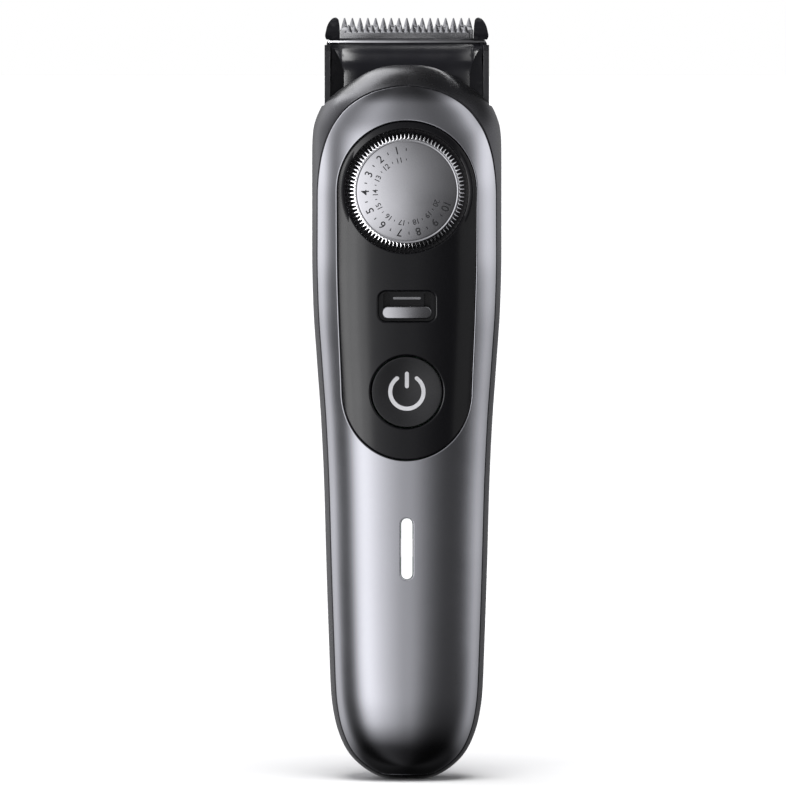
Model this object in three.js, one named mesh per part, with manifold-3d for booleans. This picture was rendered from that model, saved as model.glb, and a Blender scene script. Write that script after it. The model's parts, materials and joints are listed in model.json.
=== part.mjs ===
// Cordless beard trimmer: two-tone shell, length dial, lift-off blade head, motor drive
// and charging socket.
// Millimetres, +Z up (blade end), -Y is the front (dial and power button),
// +X is the viewer's right from the front.
// Origin: middle of the flat bottom, at the mouth of the charging socket.
import * as THREE from "three";
import { mergeVertices } from "three/addons/utils/BufferGeometryUtils.js";
import Module from "manifold-3d";

const wasm = await Module();
wasm.setup();

// ---------- driving dimensions ----------
const WALL = 1.6; // shell wall
const OUTER_FACETS = 32; // round the body, outside
const INNER_FACETS = 20; // round the body, inside
const FASCIA_INSET = 1.15; // dark frame showing outside the fascia, seen from the front
const FAR_FRONT = -30; // y safely in front of everything, for cuts

const DIAL_Z = 131.6;
const DIAL_R = 12.8;
const DIAL_FACE_Y = -18.9;
const DIAL_BACK_Y = -14.0;
const DIAL_TEETH = 88;
const KNURL_DEPTH = 0.75;
const DIAL_WELL_R = 13.75;
const DIAL_WELL_Y = -13.4; // floor of the well

const BUTTON_Z = 87.0;
const BUTTON_R = 7.9;
const BUTTON_HOLE_R = 8.1;

const LOCK_Z = 106.025; // middle of the lock slider's pocket
const LOCK_HALF_H = 3.375;
const LOCK_HALF_W = 6.35;

const LED_Z = 52.05;
const LED_LENGTH = 13.6;
const LED_WIDTH = 2.7;

const PIN_X = 2.6; // charging pins
const SOCKET_HALF_X = 4.8; // charging socket mouth
const SOCKET_HALF_Y = 3.3;
const SOCKET_DEPTH = 9.6;

const BATTERY_Y = 0.9;
const BOARD_SCREW_X = 5.5;
const BOARD_SCREW_Z = 76.4;

const MOTOR_Y = 1.5;
const MOTOR_R = 9.8;
const MOTOR_BOTTOM = 79;
const MOTOR_TOP = 106;
const MOTOR_SCREW_X = 7.2;
const CAM_THROW = 0.6; // eccentric pin, off the shaft's axis
const PIVOT_Z = 136; // drive lever's pivot

const PINION_TEETH = 11;
const GEAR_MODULE = 0.4;
const PINION_R = (PINION_TEETH * GEAR_MODULE) / 2;
const ADDENDUM = 0.9 * GEAR_MODULE;
const DEDENDUM = 1.25 * GEAR_MODULE;
const PRESSURE_ANGLE = THREE.MathUtils.degToRad(25);

const ARM_OUTER_X = 18.35; // comb carriage arms
const ARM_THICKNESS = 1.25;
const ARM_SLOT_X = ARM_OUTER_X + 0.3;

const HEAD_BASE_Z = 149.2;
const HEAD_SCREW_X = 10.5;
const HEAD_SCREW_Z = 153.6;
const BLADE_SLOPE = THREE.MathUtils.degToRad(22); // blade plane, tips towards the front
const TIP_Y = 4.0;
const TIP_Z = 170.0;

// Height, half width, depth to the front, depth to the back, squareness of the section.
const BODY_SECTIONS = [
  [0.0, 5.8, 5.0, 5.0, 2.2], [0.62, 7.2, 6.5, 6.4, 2.2], [1.57, 8.9, 8.1, 7.9, 2.2],
  [3.38, 11.2, 10.1, 9.7, 2.25], [5.3, 12.95, 11.5, 11.0, 2.3], [8.2, 14.55, 12.8, 12.1, 2.4],
  [13.0, 16.1, 14.0, 13.1, 2.5], [19.0, 16.95, 14.7, 13.6, 2.6], [30.0, 17.4, 15.1, 14.0, 2.7],
  [48.0, 18.0, 15.5, 14.0, 2.7], [66.0, 18.5, 15.8, 14.4, 2.7], [80.0, 19.15, 16.1, 15.2, 2.7],
  [93.5, 20.1, 16.4, 16.4, 2.7], [106.0, 20.9, 16.7, 17.5, 2.7], [117.0, 21.15, 16.9, 18.1, 2.7],
  [131.6, 21.15, 16.9, 18.3, 2.7], [140.0, 21.15, 16.6, 17.4, 2.6], [144.4, 21.0, 16.2, 16.3, 2.5],
  [147.0, 20.5, 15.7, 15.5, 2.45], [149.7, 19.3, 14.9, 14.2, 2.4], [151.7, 18.2, 13.9, 13.1, 2.35],
  [154.0, 15.5, 12.3, 11.2, 2.3], [156.0, 12.6, 10.4, 9.2, 2.3], [157.5, 10.4, 8.6, 7.4, 2.3],
  [158.7, 7.9, 6.6, 5.6, 2.3], [159.5, 5.0, 4.4, 4.0, 2.3],
];
const SECTION_HEIGHTS = BODY_SECTIONS.map(([z]) => z);
const BODY_TOP = SECTION_HEIGHTS.at(-1);
// Sections left out of the shell's inside, and those kept in the chassis.
const INNER_SKIPPED = [0.62, 3.38, 19.0, 48.0, 80.0, 106.0, 144.4, 149.7, 157.5];
const CORE_HEIGHTS = [30, 66, 80, 93.5, 106, 117, 131.6, 140];

// ---------- solids and meshes ----------
// BufferGeometry to a manifold solid, welding vertices by position alone.
function solid(geometry) {
  for (const key of Object.keys(geometry.attributes)) {
    if (key !== "position") geometry.deleteAttribute(key);
  }
  const welded = mergeVertices(geometry, 1e-4);
  return new wasm.Manifold(new wasm.Mesh({
    numProp: 3,
    vertProperties: new Float32Array(welded.attributes.position.array),
    triVerts: new Uint32Array(welded.index.array),
  }));
}

function geometryOf(piece) {
  const mesh = piece.getMesh();
  const positions = new Float32Array(mesh.vertProperties);
  const geometry = new THREE.BufferGeometry();
  geometry.setAttribute("position", new THREE.BufferAttribute(positions, 3));
  geometry.setIndex(new THREE.BufferAttribute(new Uint32Array(mesh.triVerts), 1));
  return geometry;
}

const union = (...pieces) => pieces.reduce((a, b) => a.add(b));
const cut = (piece, ...tools) => tools.reduce((a, b) => a.subtract(b), piece);
// The piece together with its mirror image across x = 0.
const mirrorPair = (piece) => piece.add(piece.mirror([1, 0, 0]));

function box(x0, x1, y0, y1, z0, z1) {
  const geometry = new THREE.BoxGeometry(x1 - x0, y1 - y0, z1 - z0);
  return solid(geometry.translate((x0 + x1) / 2, (y0 + y1) / 2, (z0 + z1) / 2));
}
const midBox = (halfWidth, ...yzRange) => box(-halfWidth, halfWidth, ...yzRange);

function cylinderZ(radius, z0, z1, x = 0, y = 0, facets = 24) {
  const geometry = new THREE.CylinderGeometry(radius, radius, z1 - z0, facets);
  return solid(geometry.rotateX(Math.PI / 2).translate(x, y, (z0 + z1) / 2));
}
function cylinderY(radius, y0, y1, x = 0, z = 0, facets = 24, backRadius = radius) {
  const geometry = new THREE.CylinderGeometry(backRadius, radius, y1 - y0, facets);
  return solid(geometry.translate(x, (y0 + y1) / 2, z));
}

// Outlines are lists of points or a Shape.
function extrude(outline, depth, curveSegments = 8) {
  const shape = outline instanceof THREE.Shape
    ? outline
    : new THREE.Shape(outline.map(([x, y]) => new THREE.Vector2(x, y)));
  return new THREE.ExtrudeGeometry(shape, { depth, bevelEnabled: false, curveSegments });
}
// Front-view outline (x, z), between two y.
const prismXZ = (outline, y0, y1, segments) =>
  solid(extrude(outline, y1 - y0, segments).rotateX(Math.PI / 2).translate(0, y1, 0));
// Side-view outline (y, z), between two x.
const sideView = new THREE.Matrix4().makeBasis(
  new THREE.Vector3(0, 1, 0), new THREE.Vector3(0, 0, 1), new THREE.Vector3(1, 0, 0),
);
const prismYZ = (outline, x0, x1) =>
  solid(extrude(outline, x1 - x0).applyMatrix4(sideView).translate(x0, 0, 0));
// Plan outline (x, y), between two z.
const prismXY = (outline, z0, z1, segments) =>
  solid(extrude(outline, z1 - z0, segments).translate(0, 0, z0));

function roundRect(halfWidth, halfHeight, radius, centreY = 0) {
  const shape = new THREE.Shape();
  const x = halfWidth - radius;
  const y = halfHeight - radius;
  [[x, -y], [x, y], [-x, y], [-x, -y]].forEach(([cornerX, cornerY], i) => {
    const start = ((i - 1) * Math.PI) / 2;
    shape.absarc(cornerX, centreY + cornerY, radius, start, start + Math.PI / 2, false);
  });
  return shape;
}
// Closes a right-hand half outline with its mirror image; points on x = 0 are used once.
const mirrorOutline = (half) => [
  ...half,
  ...half.filter(([x]) => x > 0).reverse().map(([x, y]) => [-x, y]),
];

// ---------- body form ----------
// Monotone cubic through one column of the section table, as a function of height.
function curveThrough(column) {
  const heights = SECTION_HEIGHTS;
  const values = BODY_SECTIONS.map((row) => row[column]);
  const last = heights.length - 1;
  const chords = values.slice(1).map((v, i) => (v - values[i]) / (heights[i + 1] - heights[i]));
  const tangents = heights.map((_, i) => {
    if (i === 0 || i === last) return chords[Math.min(i, last - 1)];
    const below = chords[i - 1];
    const above = chords[i];
    return below * above <= 0 ? 0 : (2 * below * above) / (below + above);
  });
  return (z) => {
    if (z <= heights[0]) return values[0];
    if (z >= heights[last]) return values[last];
    const i = heights.findIndex((height) => z <= height) - 1;
    const span = heights[i + 1] - heights[i];
    const s = (z - heights[i]) / span;
    const s2 = s * s;
    const s3 = s2 * s;
    return values[i] * (2 * s3 - 3 * s2 + 1) + span * tangents[i] * (s3 - 2 * s2 + s)
      + values[i + 1] * (-2 * s3 + 3 * s2) + span * tangents[i + 1] * (s3 - s2);
  };
}
const [halfWidthAt, frontDepthAt, backDepthAt, squarenessAt] = [1, 2, 3, 4].map(curveThrough);

// Moving a profile curve inwards by t along its normal: how far it goes in, and up.
function normalInset(curve, z, t) {
  const low = Math.max(z - 0.05, 0);
  const high = Math.min(z + 0.05, BODY_TOP);
  const slope = (curve(high) - curve(low)) / (high - low);
  const length = Math.hypot(1, slope);
  return { inwards: t / length, up: (t * slope) / length };
}

// Superellipse section of the body at z, shrunk at the sides, front and back.
function sectionRing(z, [sideInset, frontInset, backInset], facets, ringZ = z) {
  const halfWidth = halfWidthAt(z) - sideInset;
  const front = frontDepthAt(z) - frontInset;
  const back = backDepthAt(z) - backInset;
  const power = 2 / squarenessAt(z);
  const squared = (v) => Math.sign(v) * Math.abs(v) ** power;
  return Array.from({ length: facets }, (_, j) => {
    const angle = (2 * Math.PI * j) / facets;
    const sine = Math.sin(angle);
    return [halfWidth * squared(Math.cos(angle)), (sine < 0 ? front : back) * squared(sine), ringZ];
  });
}

// A closed solid from a stack of rings; each ring is a list of [x, y, z].
function stackSolid(rings) {
  const count = rings[0].length;
  const positions = rings.flat(2);
  const triangles = [];
  const at = (ring, j) => ring * count + (j % count);
  for (let i = 0; i < rings.length - 1; i++) {
    for (let j = 0; j < count; j++) {
      triangles.push(at(i, j), at(i, j + 1), at(i + 1, j + 1));
      triangles.push(at(i, j), at(i + 1, j + 1), at(i + 1, j));
    }
  }
  const closeEnd = (ring, facesDown) => {
    const hub = positions.length / 3;
    for (const axis of [0, 1, 2]) {
      positions.push(rings[ring].reduce((sum, point) => sum + point[axis] / count, 0));
    }
    for (let j = 0; j < count; j++) {
      const edge = [at(ring, j), at(ring, j + 1)];
      triangles.push(hub, ...(facesDown ? edge.reverse() : edge));
    }
  };
  closeEnd(0, true);
  closeEnd(rings.length - 1, false);
  const geometry = new THREE.BufferGeometry();
  geometry.setAttribute("position", new THREE.BufferAttribute(new Float32Array(positions), 3));
  geometry.setIndex(triangles);
  return solid(geometry);
}

// The whole body's outer skin, moved inwards by t along the outline's normal.
function body(t, facets, skipped = []) {
  return stackSolid(SECTION_HEIGHTS.filter((z) => !skipped.includes(z)).map((z) => {
    const moves = [halfWidthAt, frontDepthAt, backDepthAt].map((c) => normalInset(c, z, t));
    return sectionRing(z, moves.map((move) => move.inwards), facets, z + moves[0].up);
  }));
}
// The body's section shrunk by t, between two heights, with level ends.
function core(t, z0, z1) {
  const between = CORE_HEIGHTS.filter((z) => z > z0 + 2 && z < z1 - 1);
  return stackSolid([z0, ...between, z1].map((z) => sectionRing(z, [t, t, t], INNER_FACETS)));
}

// ---------- front-view outlines ----------
// Upper edge of the fascia, from the top down: height, half width.
const FASCIA_TOP = [
  [155.0, 0], [154.85, 2.2], [154.4, 4.8], [153.7, 7.4], [152.5, 10.0], [151.0, 12.3],
  [149.3, 14.2], [147.2, 15.8], [144.8, 17.2], [142.0, 18.3], [138.5, 19.2], [135.0, 19.7],
  [131.4, 19.95], [117.0, 20.0],
];
// Follows the body's edge up to z = 106, then the table; grown outwards by grow.
function fasciaOutline(grow) {
  const right = SECTION_HEIGHTS.filter((z) => z <= 106).map((z) => {
    const move = normalInset(halfWidthAt, z, FASCIA_INSET - grow);
    return [halfWidthAt(z) - move.inwards, z + move.up];
  });
  const last = FASCIA_TOP.length - 1;
  for (let i = last; i > 0; i--) {
    const [z, x] = FASCIA_TOP[i];
    const [zAbove, xAbove] = FASCIA_TOP[i - 1];
    const [zBelow, xBelow] = FASCIA_TOP[Math.min(i + 1, last)];
    const dx = xAbove - xBelow;
    const dz = zAbove - zBelow;
    const length = Math.hypot(dx, dz);
    right.push([x + (grow * dz) / length, z - (grow * dx) / length]);
  }
  right.push([0, FASCIA_TOP[0][0] + grow]);
  return mirrorOutline(right);
}

// Stadium-like control panel: round top about the dial, round bottom about the power button.
function panelOutline(grow) {
  const steps = 16; // per half turn
  const arcPoint = (i, radiusX, radiusZ, z) => {
    const angle = (Math.PI * i) / steps;
    return [(radiusX + grow) * Math.cos(angle), z + (radiusZ + grow) * Math.sin(angle)];
  };
  const points = [];
  for (let i = 0; i <= steps; i++) points.push(arcPoint(i, 15.45, 15.45, DIAL_Z));
  points.push([-(15.3 + grow), 112], [-(14.75 + grow), 96]);
  for (let i = 1; i < steps; i++) points.push(arcPoint(steps + i, 14.4, 15.0, BUTTON_Z - 0.1));
  points.push([14.75 + grow, 96], [15.3 + grow, 112]);
  return points;
}

// ---------- shells ----------
const outer = body(0, OUTER_FACETS);
const skin = outer.subtract(body(WALL, INNER_FACETS, INNER_SKIPPED));
const socketHole = prismXY(roundRect(5.5, 4.5, 1.2), -1, 14.2, 3);

const ledSlotShape = roundRect(
  LED_WIDTH / 2 + 0.1, LED_LENGTH / 2 + 0.1, LED_WIDTH / 2 + 0.08, LED_Z,
);
const frontFascia = cut(
  skin.intersect(prismXZ(fasciaOutline(0), FAR_FRONT, 0)),
  prismXZ(panelOutline(0.14), FAR_FRONT, 0),
  prismXZ(ledSlotShape, FAR_FRONT, -8, 4),
  socketHole,
);

// Side view of the joint between frame and back cover: y, z.
const SPLIT_LINE = [
  [1.6, -2], [1.8, 20], [2.2, 50], [2.8, 80], [3.4, 105], [4.0, 125], [4.8, 135],
  [6.4, 141], [9.0, 144.2], [12.5, 145.6], [30, 146],
];
// Everything behind the joint, with the joint moved back and down by gap.
const backRegion = (gap) => prismYZ(
  [...SPLIT_LINE.map(([y, z]) => [y + gap, z - gap]), [30, -3], [1.6 + gap, -3]], -40, 40,
);

// Plan of the head below the blades, right half (x, y): flat front, rounded back corners.
const HEAD_PLAN = [
  [16.8, -3.6], [16.8, 3.0], [16.5, 5.4], [15.3, 7.7], [13.0, 9.5], [9.5, 10.8], [5.0, 11.45],
];
const headPlan = (grow) => mirrorOutline(HEAD_PLAN.map(([x, y]) => {
  const growY = y > 4 ? grow : 0;
  return [x + grow, y + (y < 0 ? -grow : growY)];
}));
const headOpening = union(
  prismXY(headPlan(0.35), 143.5, 175),
  midBox(ARM_SLOT_X, -4.0, 1.8, 143.5, 175),
  midBox(40, -3.95, 30, 150.4, 175),
);
const midFrame = cut(
  skin, backRegion(0), prismXZ(fasciaOutline(0.15), FAR_FRONT, 0), headOpening, socketHole,
);
const backCover = cut(skin.intersect(backRegion(0.15)), socketHole);

const dialWell = outer.intersect(cylinderY(14.8, -20, DIAL_WELL_Y + 1.2, 0, DIAL_Z, 40));
const controlPanel = cut(
  skin.intersect(prismXZ(panelOutline(0), FAR_FRONT, 0)).add(dialWell),
  cylinderY(DIAL_WELL_R, FAR_FRONT, DIAL_WELL_Y, 0, DIAL_Z, 40),
  cylinderY(3.3, FAR_FRONT, 0, 0, DIAL_Z),
  cylinderY(BUTTON_HOLE_R, FAR_FRONT, 0, 0, BUTTON_Z, 32),
  prismXZ(roundRect(LOCK_HALF_W, LOCK_HALF_H, 1.7, LOCK_Z), FAR_FRONT, -8, 4),
);

// ---------- chassis: tub behind the works, with bulkheads ----------
const TUB_INSET = 2.0;
// Bottom, top, front edge y.
const BULKHEADS = [
  [20.5, 22.3, -7.5], [75.6, 77.2, -7.9], [107.4, 109.2, -7.9], [147.0, 148.8, -3.6],
];
const tub = core(TUB_INSET, 20.5, 148.8).subtract(core(3.5, 19.0, 150.0));
const tubExtent = union(midBox(30, -3, 30, 0, 200), midBox(30, -9.6, 30, 118.5, 147));
const gearPlate = core(TUB_INSET, 118, 147.5).intersect(midBox(30, -9.6, -8.2, 118.5, 147));
const pivotBlock = core(2.2, 128, 144).intersect(midBox(5, 5.2, 30, 129, 143));
const chassis = cut(
  union(
    mirrorPair(cylinderY(1.9, -7.9, -3.6, BOARD_SCREW_X, BOARD_SCREW_Z, 16)), // board bosses
    tub.intersect(tubExtent),
    ...BULKHEADS.map(([z0, z1, front]) =>
      core(TUB_INSET, z0, z1).intersect(midBox(30, front, 30, 0, 200))),
    gearPlate,
    pivotBlock,
  ),
  mirrorPair(box(16.85, ARM_SLOT_X, -3.8, 1.7, 112, 160)), // carriage arm guides
  midBox(17.75, -3.4, -1.0, 120, 147.35), // room for the carriage bridge
  cylinderZ(4.6, 100, 112, 0, MOTOR_Y), // shaft opening
  midBox(5.2, -1.2, 5.4, 146, 150), // lever opening
  cylinderY(3.28, -12, -6, 0, DIAL_Z), // dial bearing
  cylinderY(1.56, 3, 9.5, 0, PIVOT_Z), // lever pin
  mirrorPair(box(5.0, 7.5, -9, -3.6, 18, 24)), // lead ways
  mirrorPair(cylinderY(0.7, -9, -4, BOARD_SCREW_X, BOARD_SCREW_Z, 12)),
  mirrorPair(cylinderZ(1.1, 105, 112, MOTOR_SCREW_X, MOTOR_Y, 16)),
);

// ---------- charging socket ----------
const chargingSocket = cut(
  prismXY(roundRect(5.4, 4.4, 1.1), 0, 14, 3).add(midBox(6.9, -5.6, 5.6, 12.4, 14.0)),
  prismXY(roundRect(SOCKET_HALF_X, SOCKET_HALF_Y, 0.9), -1, SOCKET_DEPTH, 3),
  mirrorPair(cylinderZ(0.85, 5, 20, PIN_X, 0, 16)),
);
const socketSeal = cut(
  prismXY(roundRect(7.1, 5.8, 1.4), 10.9, 12.1, 3),
  prismXY(roundRect(5.6, 4.6, 1.3), 10, 13, 3),
);
const chargingPin = (side) => union(
  cylinderZ(0.75, 4.6, 17.5, side * PIN_X, 0, 16),
  cylinderZ(1.3, 14.3, 15.0, side * PIN_X, 0, 16),
);
// Lead from a charging pin to the board on the same side (x, y, z on the right).
const LEAD_PATH = [
  [PIN_X, 0, 17.8], [2.8, -1.6, 18.6], [4.4, -3.8, 19.2],
  [6.2, -4.6, 21.4], [6.4, -7.2, 23.2], [6.2, -8.2, 24.4],
];
function chargingLead(side) {
  const section = new THREE.Shape();
  section.absarc(0, 0, 0.45, 0, 2 * Math.PI, false);
  const points = LEAD_PATH.map(([x, y, z]) => new THREE.Vector3(side * x, y, z));
  return solid(new THREE.ExtrudeGeometry(section, {
    extrudePath: new THREE.CatmullRomCurve3(points),
    steps: 10,
    bevelEnabled: false,
    curveSegments: 4,
  }));
}

// ---------- battery ----------
const batteryCell = union(
  cylinderZ(9, 24.2, 73.0, 0, BATTERY_Y, 28),
  cylinderZ(2.6, 72.5, 73.9, 0, BATTERY_Y, 16),
);
const batteryTabTop = union(
  midBox(2.2, -6.4, 4.4, 74.05, 74.25),
  midBox(2.2, -8.2, -6.4, 74.05, 74.25),
);
const batteryTabBottom = midBox(2.2, -8.2, 4.4, 23.7, 23.95);

// ---------- motor and drive ----------
const motorCylinder = (radius, z0, z1, facets) => cylinderZ(radius, z0, z1, 0, MOTOR_Y, facets);
const motorCan = cut(
  motorCylinder(MOTOR_R, MOTOR_BOTTOM + 2.2, MOTOR_TOP, 32),
  motorCylinder(MOTOR_R - 0.9, MOTOR_BOTTOM, MOTOR_TOP - 1.2, 32),
  motorCylinder(2.2, 90, 120, 20),
  mirrorPair(cylinderZ(0.75, 100, 110, MOTOR_SCREW_X, MOTOR_Y, 12)),
);
const motorEndCap = cut(
  motorCylinder(MOTOR_R, MOTOR_BOTTOM, MOTOR_BOTTOM + 2.05, 32),
  motorCylinder(1.3, 70, 90, 16),
);
const motorBearing = cut(
  motorCylinder(2.1, MOTOR_TOP - 1.1, MOTOR_TOP + 2.1, 20),
  motorCylinder(1.07, 90, 120, 16),
);
const motorShaft = motorCylinder(1.0, MOTOR_BOTTOM + 0.2, 114.5, 16);
const armatureSlot = (i) => solid(
  new THREE.BoxGeometry(1.6, 5.2, 40)
    .translate(0, 6.2, 95)
    .rotateZ((i * 2 * Math.PI) / 3)
    .translate(0, MOTOR_Y, 0),
);
const motorArmature = cut(
  motorCylinder(7.6, MOTOR_BOTTOM + 5, MOTOR_TOP - 4, 24),
  motorCylinder(1.06, 70, 120, 16),
  ...[0, 1, 2].map(armatureSlot),
);
const motorScrew = (side) => union(
  cylinderZ(0.65, 105.2, 109.8, side * MOTOR_SCREW_X, MOTOR_Y, 12),
  cylinderZ(1.5, 109.4, 110.3, side * MOTOR_SCREW_X, MOTOR_Y, 12),
);
const eccentricCam = cut(
  motorCylinder(3.6, 110.6, 116.6, 24).add(cylinderZ(0.8, 116, 121.2, CAM_THROW, MOTOR_Y, 16)),
  motorCylinder(1.06, 109, 114.9, 16),
);
// Right half of the lever (x, z): fork at the bottom, finger at the top.
const LEVER_OUTLINE = [
  [2.3, 121.6], [2.3, 118.8], [4.4, 118.8], [4.4, 122.6], [2.6, 126], [2.6, 131.5],
  [4.2, 134], [4.2, 138], [2.4, 141], [1.8, 150], [0.8, 153], [0.8, 160.1],
];
const driveLever = cut(
  prismXZ(mirrorOutline(LEVER_OUTLINE), 2.0, 4.4),
  cylinderY(1.58, 0, 6, 0, PIVOT_Z),
);
const leverPin = cylinderY(1.5, 0.9, 9.2, 0, PIVOT_Z).add(cylinderY(2.3, 0.9, 1.7, 0, PIVOT_Z));

// ---------- electronics and power button ----------
const circuitBoard = cut(
  prismXZ(roundRect(7.6, 42, 1.5, 66), -9.6, -8.6, 3),
  mirrorPair(cylinderY(0.8, -11, -7, BOARD_SCREW_X, BOARD_SCREW_Z, 12)),
);
const boardScrew = (side) => union(
  cylinderY(0.62, -9.8, -4.6, side * BOARD_SCREW_X, BOARD_SCREW_Z, 12),
  cylinderY(1.4, -10.2, -9.7, side * BOARD_SCREW_X, BOARD_SCREW_Z, 12),
);
const powerSwitch = midBox(3, -10.05, -9.65, BUTTON_Z - 3, BUTTON_Z + 3);
const statusLed = midBox(1.4, -10.5, -9.7, LED_Z - 2, LED_Z + 2);
const chargeChip = midBox(3.2, -10.6, -9.7, 32, 38.4);
const guideShape = roundRect(LED_WIDTH / 2, LED_LENGTH / 2, LED_WIDTH / 2 - 0.02, LED_Z);
const lightGuide = outer.intersect(prismXZ(guideShape, FAR_FRONT, -10.8, 4));
const powerButton = outer
  .intersect(cylinderY(BUTTON_R, -20, -12.9, 0, BUTTON_Z, 32))
  .add(cylinderY(1.6, -13.2, -10.6, 0, BUTTON_Z, 16));

// ---------- dial ----------
const dialCylinder = (radius, y0, y1, ...rest) => cylinderY(radius, y0, y1, 0, DIAL_Z, ...rest);
const KNURL_ROOT_R = DIAL_R - KNURL_DEPTH;
function dialOutline() {
  return Array.from({ length: 2 * DIAL_TEETH }, (_, i) => {
    const angle = (Math.PI * i) / DIAL_TEETH;
    const radius = i % 2 ? KNURL_ROOT_R : DIAL_R;
    return [radius * Math.cos(angle), radius * Math.sin(angle)];
  });
}
const dialKnob = cut(
  prismXZ(dialOutline(), DIAL_FACE_Y + 1.0, DIAL_BACK_Y)
    .translate(0, 0, DIAL_Z)
    .add(dialCylinder(KNURL_ROOT_R, DIAL_FACE_Y, DIAL_FACE_Y + 1.2, 44, DIAL_R - 1.95)),
  dialCylinder(2.26, -16.4, -10),
);
const dialShaft = dialCylinder(2.2, -16.3, -7.0).add(dialCylinder(1.1, -7.2, -3.3, 16));
const dialBearing = cut(dialCylinder(3.2, -10.6, -7.3), dialCylinder(2.27, -12, -6));
const dialSeal = solid(
  new THREE.TorusGeometry(2.75, 0.4, 6, 20).rotateX(Math.PI / 2).translate(0, -12.8, DIAL_Z),
);

// Notched wheel: one notch for each half millimetre of comb length.
const NOTCHES = 20;
const NOTCH_STEP = THREE.MathUtils.degToRad(13);
const wheelNotch = (_, k) => solid(
  new THREE.BoxGeometry(1.3, 3, 1.9)
    .translate(0, -11.45, -9)
    .rotateY(-NOTCH_STEP * k)
    .translate(0, 0, DIAL_Z),
);
const detentWheel = cut(
  dialCylinder(9.0, -12.0, -10.9, 40),
  dialCylinder(2.27, -13, -10),
  ...Array.from({ length: NOTCHES }, wheelNotch),
);
// Right half of the spring strip (x, z), dipping to a point in the middle.
const SPRING_OUTLINE = [
  [0, 140.85], [1.2, 141.5], [9.5, 142.3], [9.5, 142.6], [1.2, 141.85], [0, 141.25],
];
const detentSpring = union(
  prismXZ(mirrorOutline(SPRING_OUTLINE), -11.9, -11.0),
  mirrorPair(box(9, 11, -11.9, -9.75, 141.8, 143.6)),
);

// Involute teeth, the first pointing to -X; flanks run radially below the base circle.
function pinionOutline() {
  const baseR = PINION_R * Math.cos(PRESSURE_ANGLE);
  const tipR = PINION_R + ADDENDUM;
  const height = tipR - baseR;
  const radii = [PINION_R - DEDENDUM, baseR, baseR + height * 0.35, baseR + height * 0.7, tipR];
  const involute = (angle) => Math.tan(angle) - angle;
  const pitchHalfAngle = Math.PI / (2 * PINION_TEETH) - 0.025; // less backlash
  const flankPoint = (radius, centre, side) => {
    const turn = involute(Math.acos(baseR / Math.max(radius, baseR)));
    const angle = centre + side * (pitchHalfAngle + involute(PRESSURE_ANGLE) - turn);
    return [radius * Math.cos(angle), radius * Math.sin(angle)];
  };
  const points = [];
  for (let i = 0; i < PINION_TEETH; i++) {
    const centre = Math.PI + (2 * Math.PI * i) / PINION_TEETH;
    points.push(...radii.map((radius) => flankPoint(radius, centre, -1)));
    points.push(...radii.map((radius) => flankPoint(radius, centre, 1)).reverse());
  }
  return points;
}
const drivePinion = cut(
  prismXZ(pinionOutline(), -6.6, -3.4).translate(0, 0, DIAL_Z),
  dialCylinder(1.16, -8, -2, 16),
);

// ---------- comb carriage ----------
const ARM_OUTLINE = [ // y, z
  [-3.4, 124], [1.2, 124], [1.2, 162.6], [0.4, 163.9], [-2.2, 163.9], [-3.4, 162.7],
];
const combCarriage = union(
  mirrorPair(prismYZ(ARM_OUTLINE, ARM_OUTER_X - ARM_THICKNESS, ARM_OUTER_X)),
  midBox(17.4, -2.9, -1.5, 124, 136.5),
  mirrorPair(box(12, 16.4, -2.9, -0.2, 126, 134.5)),
);
function rackOutline() {
  const pitch = Math.PI * GEAR_MODULE;
  const lean = Math.tan(PRESSURE_ANGLE);
  const tip = -PINION_R + ADDENDUM;
  const valley = -PINION_R - DEDENDUM;
  const halfTooth = pitch / 4 - 0.05; // at the pitch line, less half the backlash
  const halfTip = halfTooth - ADDENDUM * lean;
  const halfBase = halfTooth + DEDENDUM * lean;
  const back = -4.8;
  const points = [[back, 118.4], [valley, 118.4]];
  for (let k = -10; k <= 2; k++) {
    const z = DIAL_Z + (k + 0.5) * pitch;
    points.push([valley, z - halfBase], [tip, z - halfTip], [tip, z + halfTip], [valley, z + halfBase]);
  }
  points.push([valley, 136.2], [back, 136.2]);
  return points;
}
const carriageRack = prismXZ(rackOutline(), -6.4, -3.0);

// ---------- dial lock ----------
const lockPlate = (grow, growZ, y0, y1) =>
  prismXZ(roundRect(LOCK_HALF_W + grow, LOCK_HALF_H + growZ, 1.6, LOCK_Z), y0, y1, 4);
const lockGuide = cut(
  lockPlate(-0.1, -0.1, -15.2, -13.2).add(lockPlate(1.4, 1.2, -14.0, -13.2)),
  mirrorPair(box(3.75, 5.25, -20, 0, 103.4, 109.1)), // slots for the slider's legs
);
const lockSlider = union(
  prismXZ(roundRect(5.55, 1.4, 1.2, 104.65), -16.9, -15.35, 5),
  mirrorPair(box(4.0, 5.0, -15.5, -12.3, 103.7, 105.6)),
);
const lockPawl = union(
  midBox(5.2, -12.2, -10.9, 103.2, 106.4),
  midBox(0.45, -11.9, -11.0, 106, 120.2),
);

// ---------- blade head ----------
// Frame of the sloping blades: local x, up the slope, and out towards the front.
const bladeFrame = new THREE.Matrix4().makeBasis(
  new THREE.Vector3(1, 0, 0),
  new THREE.Vector3(0, -Math.sin(BLADE_SLOPE), Math.cos(BLADE_SLOPE)),
  new THREE.Vector3(0, -Math.cos(BLADE_SLOPE), -Math.sin(BLADE_SLOPE)),
).setPosition(0, TIP_Y, TIP_Z);
const bladePlate = (outline, out0, out1) =>
  solid(extrude(outline, out1 - out0).translate(0, 0, out0).applyMatrix4(bladeFrame));
// Point of the blade frame's base plane at height z, moved forwards in y.
const bladePlane = (z, forwards = 0) =>
  [TIP_Y + (TIP_Z - z) * Math.tan(BLADE_SLOPE) - forwards, z];

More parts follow.
